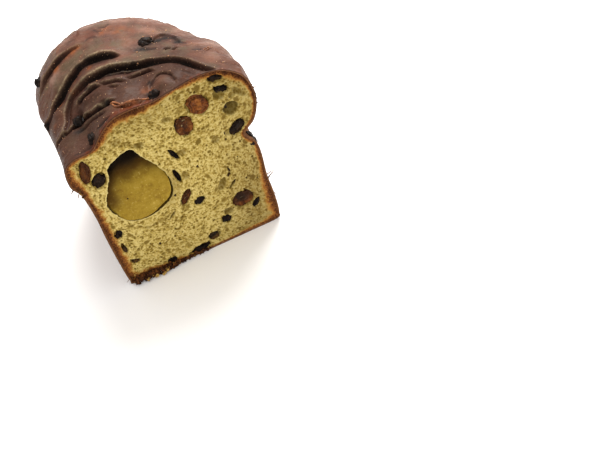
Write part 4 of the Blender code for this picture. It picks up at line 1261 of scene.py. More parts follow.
# %% Close the crumb and give it its finish
def crumb_mesh():
    """The points of the crumb in millimetres, and its faces in groups."""
    depth = sample(depth_field, net_spots)
    depth[:rim_count] = RIM_DEPTH
    front = on_face(net_spots) + np.column_stack([depth * 0, depth, depth * 0])
    faces = [net_faces[:, ::-1] if facing_back(front, net_faces) else net_faces]
    total = len(front)
    rings = [tunnel_ring(back) for back in TUNNEL_BACKS]
    rings.append(tunnel_ring(TUNNEL_FAR, 0.62))
    ring = np.arange(lip_count)
    following = (ring + 1) % lip_count
    lip = np.column_stack([rim_count + ring, rim_count + following, total + following, total + ring])
    faces.append(lip[:, ::-1])
    faces.append(grid_faces(len(rings), lip_count, total, flip=True))
    total += len(rings) * lip_count
    faces.append([total - lip_count + ring])
    skin_rows = inner_skin(TUCK)[1:] * SHARE
    ring = np.arange(rim_count)
    following = (ring + 1) % rim_count
    faces.append(np.column_stack([ring, following, total + following, total + ring]))
    faces.append(grid_faces(len(skin_rows), rim_count, total))
    total += len(skin_rows) * rim_count
    faces.append([total - rim_count + ring])
    return np.vstack([front, *rings, skin_rows.reshape(-1, 3)]), faces


def facing_back(points, faces):
    """Whether the first face of a set looks away from the cut's front."""
    first, second, third = points[faces[0]]
    return np.cross(second - first, third - first)[1] > 0


def crumb_finish():
    crumb = Finish("bread_crumb", IOR=1.4, Specular_IOR_Level=0.12)
    fine = crumb.grain(0.0009, roughness=0.6)
    web = crumb.cells(0.0011)
    pore = crumb.attribute("pore")
    damp_and_shade = crumb.attribute("moist")
    browned = crumb.attribute("brown") * (0.72 + 0.5 * crumb.step(fine, 0.35, 0.65))
    toast = crumb.ramp(browned, [
        (0.0, (206, 166, 86)), (0.35, (182, 126, 54)), (0.65, (134, 80, 36)), (0.95, (78, 44, 24))])
    colour = crumb.layered(
        crumb.ramp(crumb.grain(0.006) * 0.5 + crumb.grain(0.030, detail=2.0) * 0.5, [
            (0.38, (180, 153, 74)), (0.52, (194, 168, 88)), (0.64, (205, 181, 104))]),
        (crumb.step(fine, 0.46, 0.62) * 0.35, (218, 196, 124)),
        # painted highlight on the webs between the pores, and on the tunnel's torn edge
        (crumb.attribute("web") * 0.54, (226, 207, 136)),
        # painted shade in the pores, too small for the mesh to cast it
        (crumb.step(pore, 0.15, 0.9) * 0.84, (108, 86, 28)),
        (crumb.step(pore, 1.1, 2.0) * 0.75, (58, 40, 12)),
        (crumb.step(fine, 0.50, 0.34) * 0.35, (134, 104, 42)),
        # painted shade towards the right, the top and the lower right
        (crumb.attribute("dull") * 0.50, (100, 76, 36)),
        # moist crumb, and painted shade in the hollows, round the fruit and inside the tunnel
        (damp_and_shade * 0.55, (124, 98, 30)),
        # painted shade in the bubbles and inside the tunnel
        (crumb.attribute("hollow") * 0.90, (56, 43, 8)),
        (crumb.step(browned, 0.08, 0.55), toast),
        (crumb.attribute("burnt") * 0.85, (52, 24, 10)),
    )
    relief = crumb.bump(fine, 0.0005, 0.6, crumb.bump(web, 0.0004, 0.55))
    return crumb.finish(Base_Color=colour, Roughness=0.86 - 0.2 * damp_and_shade, Normal=relief)


crumb_points, crumb_faces = crumb_mesh()
crumb_flat = crumb_points[:, [0, 2]]
is_front = np.arange(len(crumb_points)) < len(net_spots)
# the tunnel's torn edge is paler: torn crumb, partly painted highlight
tunnel_fringe = smooth_step(0.9, 0.2, sample(tunnel_gap, crumb_flat, COARSE_STEP))
tunnel_fringe *= smooth_step(0.60, 0.40, crumb_flat[:, 0] / SHARE)
pore_depth = np.clip(sample(bowls, crumb_flat) / 0.55, 0, 2.5) * is_front
webs = np.maximum(smooth_step(0.12, 0.0, sample(bowls, crumb_flat)), tunnel_fringe * 1.3)
piece(
    "crumb", to_frame(crumb_points / SHARE), face_list(crumb_faces),
    {
        "pore": pore_depth,
        "web": is_front * webs,
        # inside the tunnel the crumb gets painted shade
        "moist": np.where(is_front, sample(moist, crumb_flat), 0.8),
        "hollow": np.where(is_front, sample(bubble_shade, crumb_flat), 0.9),
        "dull": is_front * np.clip(sample(dull, crumb_flat), 0, 1),
        "brown": np.where(is_front, sample(brown, crumb_flat), 0.0),
        "burnt": np.where(is_front, sample(burnt, crumb_flat), 0.0),
    },
    nodes=("bread",), finish=crumb_finish(),
)

# %% [markdown]
# ## The almond paste
#
# The log of paste is dense and moist. Its cut front is grainy from ground almonds, and it leans back
# towards the top, where it shrank away from the crumb. Its top and its upper left are painted dark, as
# painted shade under the roof and the wall of the tunnel.

# %% Build the paste
PASTE_TOP_RECESS, PASTE_LOW_RECESS = 12.0, 0.35
PASTE_RINGS = 64
LEAN_FROM, LEAN_SPAN = 63.0, 27.3  # the front leans back above this height
LEFT_FROM, LEFT_SPAN = 31.5, 18.9  # and to the left of this place
PASTE_BACKS = (20.0, 24.0, 30.0, 36.0, 60.0, TUNNEL_FAR - 6.3)
PASTE_END_RINGS = ((0.88, 1.3), (0.6, 0.3))  # their size, and how far they lie before the tunnel's end
CAD_GAP = 0.38


def paste_front(spots):
    """How far behind the cut the front of the log lies, more at the top and at the left."""
    lean = np.clip((spots[:, 1] - LEAN_FROM) / LEAN_SPAN, 0, 1) ** 1.6
    left = np.clip((LEFT_FROM - spots[:, 0]) / LEFT_SPAN, 0, 1) ** 1.5
    left *= smooth_step(50.0, 66.0, spots[:, 1])
    return PASTE_LOW_RECESS + (PASTE_TOP_RECESS - PASTE_LOW_RECESS) * lean + 2.5 * left


def paste_mesh():
    edge = tunnel_line - tunnel_out * (clearance - CAD_GAP)[:, None]
    rings = []
    for size in np.linspace(0.03, 1.0, PASTE_RINGS) ** 0.8:
        spots = TUNNEL_HEART + (edge - TUNNEL_HEART) * size
        flat = on_face(spots)
        back = paste_front(spots) + 0.3 * smooth_step(0.95, 1.0, size) ** 2
        grainy = 0.25 * fractal(flat, 2.6, 102)
        back += 0.25 * noise(flat, 9.0, 101) + grainy + 0.10 * fractal(flat, 0.9, 103)
        back = np.maximum(back, 0.05)
        uneven = 0.35 * noise(flat, 3.0, 104) * smooth_step(0.8, 1.0, size)
        rings.append(flat + np.column_stack([tunnel_out[:, 0] * uneven, back, tunnel_out[:, 1] * uneven]))
    rings += [on_face(edge, back) for back in PASTE_BACKS]
    for size, gap in PASTE_END_RINGS:
        rings.append(on_face(TUNNEL_HEART + (edge - TUNNEL_HEART) * size, TUNNEL_FAR - gap))
    points = np.vstack(rings)
    faces = grid_faces(len(rings), TUNNEL_COLUMNS).tolist()
    column = np.arange(TUNNEL_COLUMNS)
    faces += [list(column[::-1]), list((len(rings) - 1) * TUNNEL_COLUMNS + column)]
    return points, faces


def paste_finish():
    paste = Finish("almond_paste", IOR=1.45, Specular_IOR_Level=0.12)
    fine = paste.grain(0.0012, roughness=0.6)
    dark = paste.attribute("dark")
    colour = paste.layered(
        paste.ramp(paste.grain(0.007) * 0.7 + fine * 0.3, [
            (0.36, (132, 102, 27)), (0.50, (155, 126, 38)), (0.66, (170, 141, 52))]),
        (paste.step(fine, 0.60, 0.70) * 0.5, (206, 178, 96)),
        (paste.step(fine, 0.36, 0.28) * 0.4, (120, 84, 20)),
        # painted shade, nearly black at the top
        (paste.step(dark, 0.0, 0.55) * 0.88, (70, 41, 0)),
        (paste.step(dark, 0.45, 0.85) * 0.95, (14, 6, 0)),
    )
    relief = paste.bump(fine, 0.0005, 0.5)
    return paste.finish(Base_Color=colour, Roughness=0.52 + 0.2 * fine, Normal=relief)


paste_points, paste_faces = paste_mesh()
paste_flat = paste_points[:, [0, 2]]
# Painted shade: darker towards the top and at the upper left.
paste_shade = 1.15 * smooth_step(68.5, 94.5, paste_flat[:, 1])
paste_shade += 0.5 * smooth_step(25, 14, paste_flat[:, 0]) * smooth_step(54, 67, paste_flat[:, 1])
paste_shade = np.clip(paste_shade + 0.12 * fractal(paste_points, 6.0, 105), 0, 1)
piece(
    "paste", to_frame(paste_points / SHARE), paste_faces, {"dark": paste_shade},
    nodes=("almond_paste",), finish=paste_finish(),
)

# %% [markdown]
# ## Raisins, sultanas and currants
#
# A dried fruit is a bag of skin that fell in on itself: deep folds, fine wrinkles between them, and a shine
# where the skin is tight. Each one starts as a ball of small triangles that is pushed in along a few random
# creases. The knife sliced the ones in the face, so their fronts are flattened and a little torn.

# %% The form of a dried fruit
DEPTH_SHARE = 0.36  # the CAD fruit's middle lies this share of its half thickness behind the cut
SKIN_CREASES = 7
FULLNESS = 1.04
SQUARENESS = 2.6


def ball(subdivisions):
    """The points and triangles of a unit ball."""
    made = bmesh.new()
    bmesh.ops.create_icosphere(made, subdivisions=subdivisions, radius=1.0)
    points = np.array([vertex.co for vertex in made.verts])
    faces = [[vertex.index for vertex in face.verts] for face in made.faces]
    made.free()
    return points, faces


def shrivelled(points, seed, folds, fine):
    """How far the skin lies from the middle in every direction, as a share of the full radius."""
    source = np.random.default_rng(seed)
    bent = points + 0.35 * np.column_stack([noise(points + axis, 0.9, seed + axis) for axis in range(3)])
    depth = np.zeros(len(points))
    for _ in range(SKIN_CREASES):
        normal = source.normal(0, 1, 3)
        normal /= np.linalg.norm(normal)
        away = np.abs(bent @ normal - source.uniform(-0.7, 0.7)) / source.uniform(0.07, 0.16)
        depth = np.maximum(depth, source.uniform(0.5, 1.0) * bell(away))
    rough = fractal(points * (1, 1.4, 1), 0.30, seed + 9, 3)
    return FULLNESS - folds * depth + fine * rough + 0.12 * noise(points, 0.9, seed + 5), depth


def face_fruit(node, seed, subdivisions, folds, fine):
    """A fruit sliced by the knife: its points in metres, its faces and how deep each point is in a fold."""
    form = forms[node]
    points, faces = ball(subdivisions)
    share, depth = shrivelled(points, seed, folds, fine)
    half_depth = (form["back"] - FACE_Y) / (1 + DEPTH_SHARE)
    outward = np.linalg.norm(points[:, [0, 2]], axis=1)
    turns = points[:, [0, 2]] / np.maximum(outward, 0.05)[:, None]
    square = 1 / np.maximum((np.abs(turns) ** SQUARENESS).sum(1), 0.3) ** (1 / SQUARENESS)
    circle = on_face(turns * 10)
    ragged = 0.32 * noise(circle, 7.0, seed + 30) + 0.14 * noise(circle, 3.2, seed + 31)
    outline = (square - 1) * 0.9 - 0.04 + ragged * (1.0 if fine > 0.05 else 0.6)
    flat = points * (share * (1 + smooth_step(0.2, 0.7, outward) * outline))[:, None]
    long, wide = form["half"]
    across = flat[:, :1] * long * form["turn"][0] + flat[:, 2:] * wide * form["turn"][1]
    back = FACE_Y + DEPTH_SHARE * half_depth + flat[:, 1] * half_depth
    from_middle = np.sqrt(flat[:, 0] ** 2 + flat[:, 2] ** 2)
    cut = form["front"] + MM * (0.15 + 0.7 * smooth_step(0.7, 1.1, from_middle) ** 2)
    torn_skin = 0.7 * noise(flat, 0.45, seed + 20) + 0.6 * fractal(flat, 0.24, seed + 21)
    cut += MM * (torn_skin + 3.2 * depth * folds)
    cut = np.maximum(cut, FACE_Y + 0.1 * MM)
    middle = form["middle"] + across
    placed = np.column_stack([middle[:, 0], back + np.maximum(cut - back, 0), middle[:, 1]])
    return placed, faces, depth


def crust_fruit(node, seed, subdivisions, folds, fine):
    """A fruit in the crust, whole but for what the knife took off in front of the cut."""
    low, high = (np.array(corner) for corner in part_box(node))
    points, faces = ball(subdivisions)
    share, depth = shrivelled(points, seed, folds, fine)
    share = share * (1 + 0.16 * noise(points, 0.5, seed + 32) + 0.10 * noise(points, 0.24, seed + 33))
    placed = (low + high) / 2 + points * share[:, None] * (high - low) / 2
    placed[:, 1] = np.maximum(placed[:, 1], FACE_Y + MM * (0.3 + 0.25 * noise(points, 0.3, seed + 20)))
    return placed, faces, depth


# %% [markdown]
# Sultanas are golden brown and let some light through, raisins and currants are almost black. The colour
# gets darker in the folds as painted shade, and a bloom of sugar shows in some places, with painted glints.

# %% The finishes of the fruit
def sultana_finish():
    sultana = Finish("sultana", IOR=1.42, Specular_IOR_Level=0.08, Coat_Roughness=0.12)
    fine = sultana.grain(0.0011, roughness=0.6)
    medium = sultana.grain(0.0030, stretch=(1.0, 1.0, 0.35))
    painted_glint = sultana.step(sultana.grain(0.0017), 0.62, 0.70)
    colour = sultana.layered(
        sultana.ramp(medium * 0.6 + fine * 0.4, [
            (0.36, (66, 28, 6)), (0.50, (112, 58, 18)), (0.62, (158, 96, 40))]),
        (sultana.attribute("dark"), sultana.ramp(medium, [(0.35, (30, 14, 3)), (0.65, (70, 36, 8))])),
        # painted shade in the folds of the skin
        (sultana.attribute("fold") * 0.7, (42, 20, 5)),
        # sugar bloom, and painted glints
        (painted_glint * sultana.attribute("bloom") * 0.7, (190, 170, 120)),
    )
    relief = sultana.bump(fine, 0.0004, 0.5)
    return sultana.finish(Base_Color=colour, Roughness=0.40 + 0.25 * fine, Coat_Weight=0.06, Normal=relief)


def raisin_finish():
    raisin = Finish("raisin", IOR=1.42, Specular_IOR_Level=0.10, Coat_Roughness=0.10)
    fine = raisin.grain(0.0009, roughness=0.6)
    deep = raisin.ramp(raisin.grain(0.0030, detail=2.0) * 0.5 + fine * 0.5, [
        (0.36, (12, 5, 2)), (0.52, (26, 13, 6)), (0.66, (48, 29, 14))])
    bloom = raisin.step(raisin.grain(0.0022), 0.60, 0.72)
    colour = raisin.layered(
        raisin.mix(0.75, deep, (104, 72, 28)),
        (raisin.step(raisin.attribute("dark"), -0.5, 1.0), deep),
        # painted shade in the folds of the skin
        (raisin.attribute("fold") * 0.8, (8, 4, 3)),
        # sugar bloom, and painted glints
        (bloom * raisin.attribute("bloom") * 0.55, (120, 112, 96)),
    )
    relief = raisin.bump(fine, 0.0004, 0.6)
    return raisin.finish(Base_Color=colour, Roughness=0.42 + 0.3 * fine, Coat_Weight=0.05, Normal=relief)


FINISHES = {"sultana": sultana_finish(), "raisin": raisin_finish()}
print("fruit finishes:", ", ".join(FINISHES))

# %% [markdown]
# How dark each fruit is, and how much sugar bloom and painted glint it has, is read off below. The rest of
# the fruit is made by one loop.

# %% Make the fruit
DARKNESS = {  # at the fruit's lower end and at its upper end, from 0 to 1
    "sultana_crown": (0.1, 0.2), "sultana_upper": (0.35, 0.75), "sultana_right": (0.45, 1.0),
    "sultana_left": (0.6, 0.75), "sultana_middle": (0.3, 0.9), "raisin_low": (0.1, 0.6),
    "raisin_corner": (-0.4, 0.1), "raisin_lobe": (0.5, 0.8), "raisin_by_paste": (0.6, 0.9),
    "raisin_top": (0.4, 0.9),
}
# how much sugar bloom and painted glint each fruit has
BLOOM_AND_GLINT = {
    "raisin_rim": 1.0, "raisin_lobe": 0.5, "raisin_burnt": 0.9, "raisin_notch": 0.6, "raisin_by_paste": 0.4,
    "sultana_upper": 0.9, "sultana_middle": 0.5, "raisin_top": 0.5,
}
LARGE_FRUIT = 10 * MM
SKINS = {"sultana": (0.10, 0.035), "raisin": (0.24, 0.06)}  # how deep their creases and wrinkles are
FIRST_SEED, SEED_STEP = 200, 31


def make_fruit(node, seed):
    kind = "sultana" if node.startswith("sultana") else "raisin"
    low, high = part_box(node)
    subdivisions = 5 if max(high.x - low.x, high.z - low.z) > LARGE_FRUIT else 4
    shape = face_fruit if node in forms else crust_fruit
    points, faces, depth = shape(node, seed, subdivisions, *SKINS[kind])
    at_bottom, at_top = DARKNESS.get(node, (1.0, 1.0))
    height = (points[:, 2] - low.z) / (high.z - low.z)
    height += 0.25 * noise(points, 0.003, seed)
    dark = at_bottom + (at_top - at_bottom) * smooth_step(0.25, 0.75, height)
    bloom = np.full(len(points), BLOOM_AND_GLINT.get(node, 0.15))
    attributes = {"fold": depth, "dark": dark, "bloom": bloom}
    piece(node + "_fruit", points, faces, attributes, nodes=(node,), finish=FINISHES[kind])


for number, node in enumerate(FACE_FRUIT + CRUST_FRUIT):
    make_fruit(node, FIRST_SEED + SEED_STEP * number)

# %% [markdown]
# Small bits of fruit skin lie between the whole fruits, too small to be nodes of their own. They are one
# piece.

# %% Bits of fruit in the crumb
BITS = [  # across, up, width, height, turn in degrees and depth behind the cut
    (85.4, 81.4, 3.2, 3.6, 20, 0.9), (86.8, 76.8, 2.2, 4.2, -60, 1), (66.1, 67.8, 1.5, 3, -20, 0.7),
    (64.4, 68.2, 1, 1.6, 40, 0.7), (46.6, 105.1, 1.5, 2.4, 15, 0.8), (27.3, 22.6, 1.5, 2.4, -10, 0.7),
    (36.8, 23.2, 1.8, 1.2, 10, 0.7), (64.4, 102.8, 3.2, 1.6, 15, 1), (68, 103.6, 3.4, 1.5, -5, 1),
    (71.4, 102.6, 2.4, 1.4, -25, 1), (62.9, 98.2, 1.6, 3.6, 10, 1.2), (61.9, 94.6, 1.8, 3.2, 25, 1.2),
    (91.6, 98, 1.7, 4.4, 25, 1.2), (94.8, 101.9, 2, 1.6, 0, 0.8), (90.6, 100.6, 1.4, 1.4, 0, 0.7),
    (83.2, 44.2, 1.2, 4.6, -25, 1.2), (80, 40.6, 1.2, 4.6, -55, 1.2), (82.2, 55, 1.1, 3.6, 5, 1),
    (81, 51, 1.1, 3.8, -35, 1), (43.6, 39, 1, 3.6, -58, 1.3), (41, 37.8, 0.9, 2.6, -50, 1.3),
    (44.3, 30.7, 0.8, 2.4, -50, 1), (66.6, 66.4, 1.1, 3, 15, 0.8), (62.5, 59.7, 1.3, 2.2, 10, 0.8),
    (96.9, 40.2, 1.1, 1.2, 0, 0.6), (90.2, 44.1, 1, 1, 0, 0.5), (89.3, 62.1, 1.2, 0.9, 0, 0.5),
    (50.3, 65.7, 1.2, 2, 10, 0.6), (47.7, 53.9, 1.4, 2.2, 0, 0.6), (7.4, 30.2, 2.4, 5.6, 0, 0.7),
    (30.7, 1.3, 3.6, 1.6, 5, 0.4), (62.8, 21.5, 2.4, 1.2, 10, 0.8), (75.7, 32.7, 1.6, 1.2, 0, 0.6),
    (23.3, 65.1, 1.4, 1.4, 0, 1.3), (66.2, 11, 3.6, 1.6, 12, 0.9),
]


def bit_meshes():
    """Every bit as one set of points and faces."""
    unit, triangles = ball(3)
    points, faces, depths = [], [], []
    for number, (across, up, width, height, turn, back) in enumerate(BITS):
        share, depth = shrivelled(unit, 900 + number, 0.22, 0.08)
        local = unit * share[:, None] * np.array((width, min(width, height) + 0.6, height)) / 2
        angle = math.radians(turn)
        right = local[:, 0] * math.cos(angle) - local[:, 2] * math.sin(angle)
        above = local[:, 0] * math.sin(angle) + local[:, 2] * math.cos(angle)
        behind = np.maximum(back + local[:, 1] + 0.3, back + 0.1 * noise(unit, 0.3, number))
        points.append(np.column_stack([across + right, behind, up + above]))
        faces += [[corner + len(unit) * number for corner in face] for face in triangles]
        depths.append(depth)
    return to_frame(np.vstack(points) / SHARE), faces, np.concatenate(depths)


bit_points, bit_faces, bit_folds = bit_meshes()
bit_dark = 0.6 + 0.4 * noise(bit_points, 0.006, 951)
piece(
    "fruit_bits", bit_points, bit_faces,
    {"fold": bit_folds * 0.6, "dark": bit_dark, "bloom": bit_folds * 0 + 0.2},
    finish=FINISHES["raisin"],
)

# %% [markdown]
# ## Torn edges, splinters and crumbs
#
# The knife tore the crust here and there. Just behind the cut a ridge of crust stands up, hairs of dough
# stick out of the walls, and the burnt bottom edge broke into ragged bits. The thin ones are tapered tubes
# along a line.

# %% Tubes along a line
TUBE_UP = np.array((0.0, 0.35, 1.0))


def tube_mesh(line, radii, around, flatten, seed):
    """A closed tube through the points of a line, with a radius for every point, squashed sideways."""
    along = np.gradient(line, axis=0)
    along /= np.linalg.norm(along, axis=1)[:, None]
    up = TUBE_UP - along * (along @ TUBE_UP)[:, None]
    up /= np.linalg.norm(up, axis=1)[:, None]
    aside = np.cross(along, up)
    turns = np.arange(around) * 2 * math.pi / around
    rings = (line[:, None] + up[:, None] * np.cos(turns)[:, None] * radii[:, None, None]
             + aside[:, None] * np.sin(turns)[:, None] * radii[:, None, None] * flatten)
    points = rings.reshape(-1, 3)
    uneven = np.column_stack([noise(points, 1.2 * radii.mean(), seed + axis) for axis in range(3)])
    points = points + 0.25 * radii.repeat(around)[:, None] * uneven
    faces = grid_faces(len(line), around).tolist()
    faces += [list(range(around))[::-1], list((len(line) - 1) * around + np.arange(around))]
    return points, faces


def joined(meshes):
    """Several sets of points and faces as one set."""
    faces = []
    start = 0
    for points, some in meshes:
        faces += [[corner + start for corner in face] for face in some]
        start += len(points)
    return np.vstack([points for points, _ in meshes]), faces


skin_in_frame = to_frame(skin)
skin_tree = KDTree(len(skin))
for number, point in enumerate(skin_in_frame):
    skin_tree.insert(point, number)
skin_tree.balance()


def on_skin(points, lift):
    """The nearest points of the crust to some places given in shares, raised by a lift in millimetres."""
    nearest = [skin_tree.find(Vector(point))[1] for point in to_frame(points)]
    return skin_in_frame[nearest] + smooth_out.reshape(-1, 3)[nearest] * lift * MM


# %% [markdown]
# The ridge is orange and shiny along its top, because the thin dough there baked without the glaze.

# %% The torn ridge
RIDGE = hundredths([
    (54, 3.4, 113.5), (51.1, 3.8, 113.4), (48.2, 4.2, 113.7), (44.4, 4.4, 114), (40.8, 5.8, 113.9),
    (37.8, 10, 113.6), (35.2, 12.8, 113)])
RIDGE_TAG = hundredths([(41.2, 5.6, 113.8), (39.2, 5.8, 113.7), (37.4, 7.8, 113.4), (36.6, 10, 113.3)])
SCRATCHES = hundredths((
    [(88.9, 21.4, 115.1), (91.2, 24.3, 113.6), (93.3, 26.5, 112)],
    [(89.8, 20.8, 114.9), (92, 23, 113.5), (94.2, 26, 111.5)],
))


def ridge_mesh(corners, radius, seed):
    line = on_skin(line_through(corners, 0.004), 0.35)
    for _ in range(4):
        line[1:-1] = (line[:-2] + 2 * line[1:-1] + line[2:]) / 4
    share = np.linspace(0, 1, len(line))
    radii = radius * np.sin(math.pi * np.clip(share, 0.03, 0.97)) ** 0.4
    radii *= 1 + 0.35 * noise(line, 0.002, seed)
    return tube_mesh(line, radii * MM, 10, 0.6, seed)


def ridge_finish():
    ridge = Finish("torn_crust", IOR=1.45, Specular_IOR_Level=0.3, Coat_Roughness=0.2)
    fine = ridge.grain(0.0012)
    medium = ridge.grain(0.004, detail=2.0)
    colour = ridge.ramp(medium * 0.6 + fine * 0.4, [
        (0.36, (76, 38, 14)), (0.50, (128, 72, 34)), (0.64, (172, 108, 62))])
    relief = ridge.bump(fine, 0.0004, 0.5)
    return ridge.finish(Base_Color=colour, Roughness=0.42, Coat_Weight=0.15, Normal=relief)


ridges = [ridge_mesh(RIDGE, 0.70, 301), ridge_mesh(RIDGE_TAG, 0.8, 302)]
ridges += [ridge_mesh(line, 0.26, 303 + number) for number, line in enumerate(SCRATCHES)]
ridge_points, ridge_faces = joined(ridges)
piece("torn_ridge", ridge_points, ridge_faces, finish=ridge_finish())

# %% [markdown]
# Hairs of dough, in millimetres on the cut face: across, back and up at both ends, and the radius at the
# root.

# %% Splinters
SPLINTER_RINGS = 9
SPLINTERS = [
    ((3.6, 0.6, 8.6), (-2.3, 0.4, 3.3), 0.28), ((102.4, 0.8, 35.8), (108.4, 0.2, 41.2), 0.42),
    ((102.6, 1.6, 38.6), (107.6, 1.2, 40.4), 0.3), ((102, 1, 61.6), (103.9, 0.6, 68), 0.32),
    ((108.4, 1, 102.4), (111.6, 0.6, 101.2), 0.34), ((108, 1.2, 104.6), (110.8, 1, 104.2), 0.26),
    ((109, 1, 95), (111, 0.8, 93.2), 0.24), ((0.8, 0.8, 86.4), (-1.4, 0.4, 84), 0.3),
    ((1.6, 0.6, 82.4), (0.2, 0.2, 79.8), 0.28), ((104.4, 1.2, 22), (106, 0.8, 20.4), 0.24),
]


def splinter_mesh(number, start, end, radius):
    share = np.linspace(0, 1, SPLINTER_RINGS)[:, None]
    bend = np.sin(share * math.pi) * np.array((0.5, -0.2, 0.35)) * (-1) ** number
    line = np.array(start) + (np.array(end) - np.array(start)) * share + bend
    radii = radius * (1 - share[:, 0]) ** 0.6 + 0.05
    return tube_mesh(to_frame(line / SHARE), radii * MM, 6, 0.8, 320 + number)


def crust_hair():
    hair = Finish("dough_hair", IOR=1.45, Specular_IOR_Level=0.1)
    colour = hair.ramp(hair.grain(0.003), [(0.4, (70, 40, 22)), (0.6, (128, 82, 44))])
    return hair.finish(Base_Color=colour, Roughness=0.7)


splinter_points, splinter_faces = joined(
    [splinter_mesh(number, *splinter) for number, splinter in enumerate(SPLINTERS)])
piece("splinters", splinter_points, splinter_faces, finish=crust_hair())

# %% [markdown]
# The bottom edge: burnt bits and a few pale crumbs, every one a small ball of triangles with a rough skin.

# %% Bits along the edges
EDGE_BITS = [  # how many, across, up, forward and size, each from and to, and how pale
    (60, (3.4, 16), (0.3, 4.6), (-0.6, 2.6), (1.4, 3.6), 0.05),
    (60, (12, 32), (0.3, 4), (-0.6, 2.4), (1.2, 3.2), 0.1),
    (34, (28, 54), (0.3, 2.8), (-0.5, 1.2), (1, 2.4), 0.05),
    (16, (10, 27), (0.8, 3.6), (2, 4), (0.8, 2.2), 0.8),
    (9, (2.4, 5.4), (0.4, 7), (-0.2, 0.8), (0.8, 1.8), 0.3),
    (8, (2.4, 3.8), (79, 85), (-0.4, 0.5), (0.8, 1.6), 0.35),
    (8, (108.6, 109.8), (90, 104), (-0.6, 0.3), (0.6, 1.3), 0.2),
]


def edge_bits():
    source = np.random.default_rng(71)
    unit, triangles = ball(2)
    meshes, pales = [], []
    for count, across, up, forward, sizes, pale in EDGE_BITS:
        for number in range(count):
            spot = np.array([source.uniform(*across), -source.uniform(*forward), source.uniform(*up)])
            size = source.uniform(*sizes) * source.uniform(0.7, 1.0, 3) / 2
            moved = unit + 9 * number
            rough = 1 + 0.55 * noise(moved, 0.9, 331) + 0.35 * noise(moved, 0.4, 332)
            points = spot + unit * size * rough[:, None]
            points[:, 2] = np.maximum(points[:, 2], 0.05)
            meshes.append((points, triangles))
            pales.append(np.full(len(unit), np.clip(pale + source.normal(0, 0.18), 0, 1)))
    points, faces = joined(meshes)
    return to_frame(points / SHARE), faces, np.concatenate(pales)


def crumbs_finish():
    bit = Finish("burnt_crumbs", IOR=1.45, Specular_IOR_Level=0.12)
    fine = bit.grain(0.0009)
    medium = bit.grain(0.0024, detail=2.0)
    dark = bit.ramp(medium * 0.6 + fine * 0.4, [
        (0.36, (30, 16, 9)), (0.50, (66, 36, 18)), (0.64, (120, 72, 34))])
    pale = bit.ramp(fine, [(0.36, (140, 100, 44)), (0.62, (206, 172, 96))])
    colour = bit.mix(bit.step(bit.attribute("pale"), 0.30, 0.75), dark, pale)
    return bit.finish(Base_Color=colour, Roughness=0.8, Normal=bit.bump(fine, 0.0006, 0.7))


edge_points, edge_faces, edge_pale = edge_bits()
piece("edge_bits", edge_points, edge_faces, {"pale": edge_pale}, finish=crumbs_finish())

# %% [markdown]
# Last, some small pale grains on the crown. A Geometry Nodes tree strews them over the crust, where its
# "crown" numbers are high, and the result is turned into a plain mesh.

# %% Strew the grains
FULL_TURN = 6.28


def strewing_tree():
    tree = bpy.data.node_groups.new("strewn_grains", "GeometryNodeTree")
    for label, kind in (
        ("Surface", "Geometry"), ("Grains per square metre", "Float"), ("Smallest grain", "Float"),
        ("Largest grain", "Float"), ("Seed", "Int"), ("Finish", "Material"),
    ):
        tree.interface.new_socket(label, in_out="INPUT", socket_type="NodeSocket" + kind)
    tree.interface.new_socket("Grains", in_out="OUTPUT", socket_type="NodeSocketGeometry")

    def node(kind, **wires):
        new = tree.nodes.new(kind)
        for label, source in wires.items():
            socket = new.inputs[label.replace("_", " ")]
            if isinstance(source, bpy.types.NodeSocket):
                tree.links.new(source, socket)
            else:
                socket.default_value = source
        return new

    given = tree.nodes.new("NodeGroupInput").outputs
    crown = node("GeometryNodeInputNamedAttribute", Name="crown")
    crown.data_type = "FLOAT"
    thick = node("ShaderNodeMath")
    thick.operation = "MULTIPLY"
    tree.links.new(crown.outputs["Attribute"], thick.inputs[0])
    tree.links.new(given["Grains per square metre"], thick.inputs[1])
    strewn = node("GeometryNodeDistributePointsOnFaces", Mesh=given["Surface"], Density=thick.outputs[0],
                  Seed=given["Seed"])
    grain = node("GeometryNodeMeshIcoSphere", Subdivisions=1, Radius=1.0)
    size = node("FunctionNodeRandomValue")
    size.data_type = "FLOAT"
    for end, label in (("Min", "Smallest grain"), ("Max", "Largest grain")):
        socket = next(one for one in size.inputs if one.name == end and one.type == "VALUE")
        tree.links.new(given[label], socket)
    turn = node("FunctionNodeRandomValue")
    turn.data_type = "FLOAT_VECTOR"
    turn.inputs["Max"].default_value = (FULL_TURN,) * 3
    placed = node("GeometryNodeInstanceOnPoints", Points=strewn.outputs["Points"],
                  Instance=grain.outputs["Mesh"], Rotation=turn.outputs["Value"])
    value = next(one for one in size.outputs if one.type == "VALUE")
    tree.links.new(value, placed.inputs["Scale"])
    real = node("GeometryNodeRealizeInstances", Geometry=placed.outputs["Instances"])
    painted = node("GeometryNodeSetMaterial", Geometry=real.outputs["Geometry"], Material=given["Finish"])
    tree.links.new(painted.outputs["Geometry"], tree.nodes.new("NodeGroupOutput").inputs["Grains"])
    return tree


def strewn_grains(surface, settings):
    """The grains strewn over a surface, as one plain mesh of points and faces."""
    holder = add_object("grains_holder", surface.data.copy())
    modifier = holder.modifiers.new("grains", "NODES")
    modifier.node_group = strewing_tree()
    for item in modifier.node_group.interface.items_tree:
        if item.in_out == "INPUT" and item.name in settings:
            modifier[item.identifier] = settings[item.name]
    bpy.context.view_layer.update()
    ready = holder.evaluated_get(bpy.context.evaluated_depsgraph_get())
    mesh = bpy.data.meshes.new_from_object(ready)
    points = [tuple(vertex.co) for vertex in mesh.vertices]
    faces = [tuple(face.vertices) for face in mesh.polygons]
    holder.modifiers.clear()
    bpy.data.objects.remove(holder)
    return points, faces


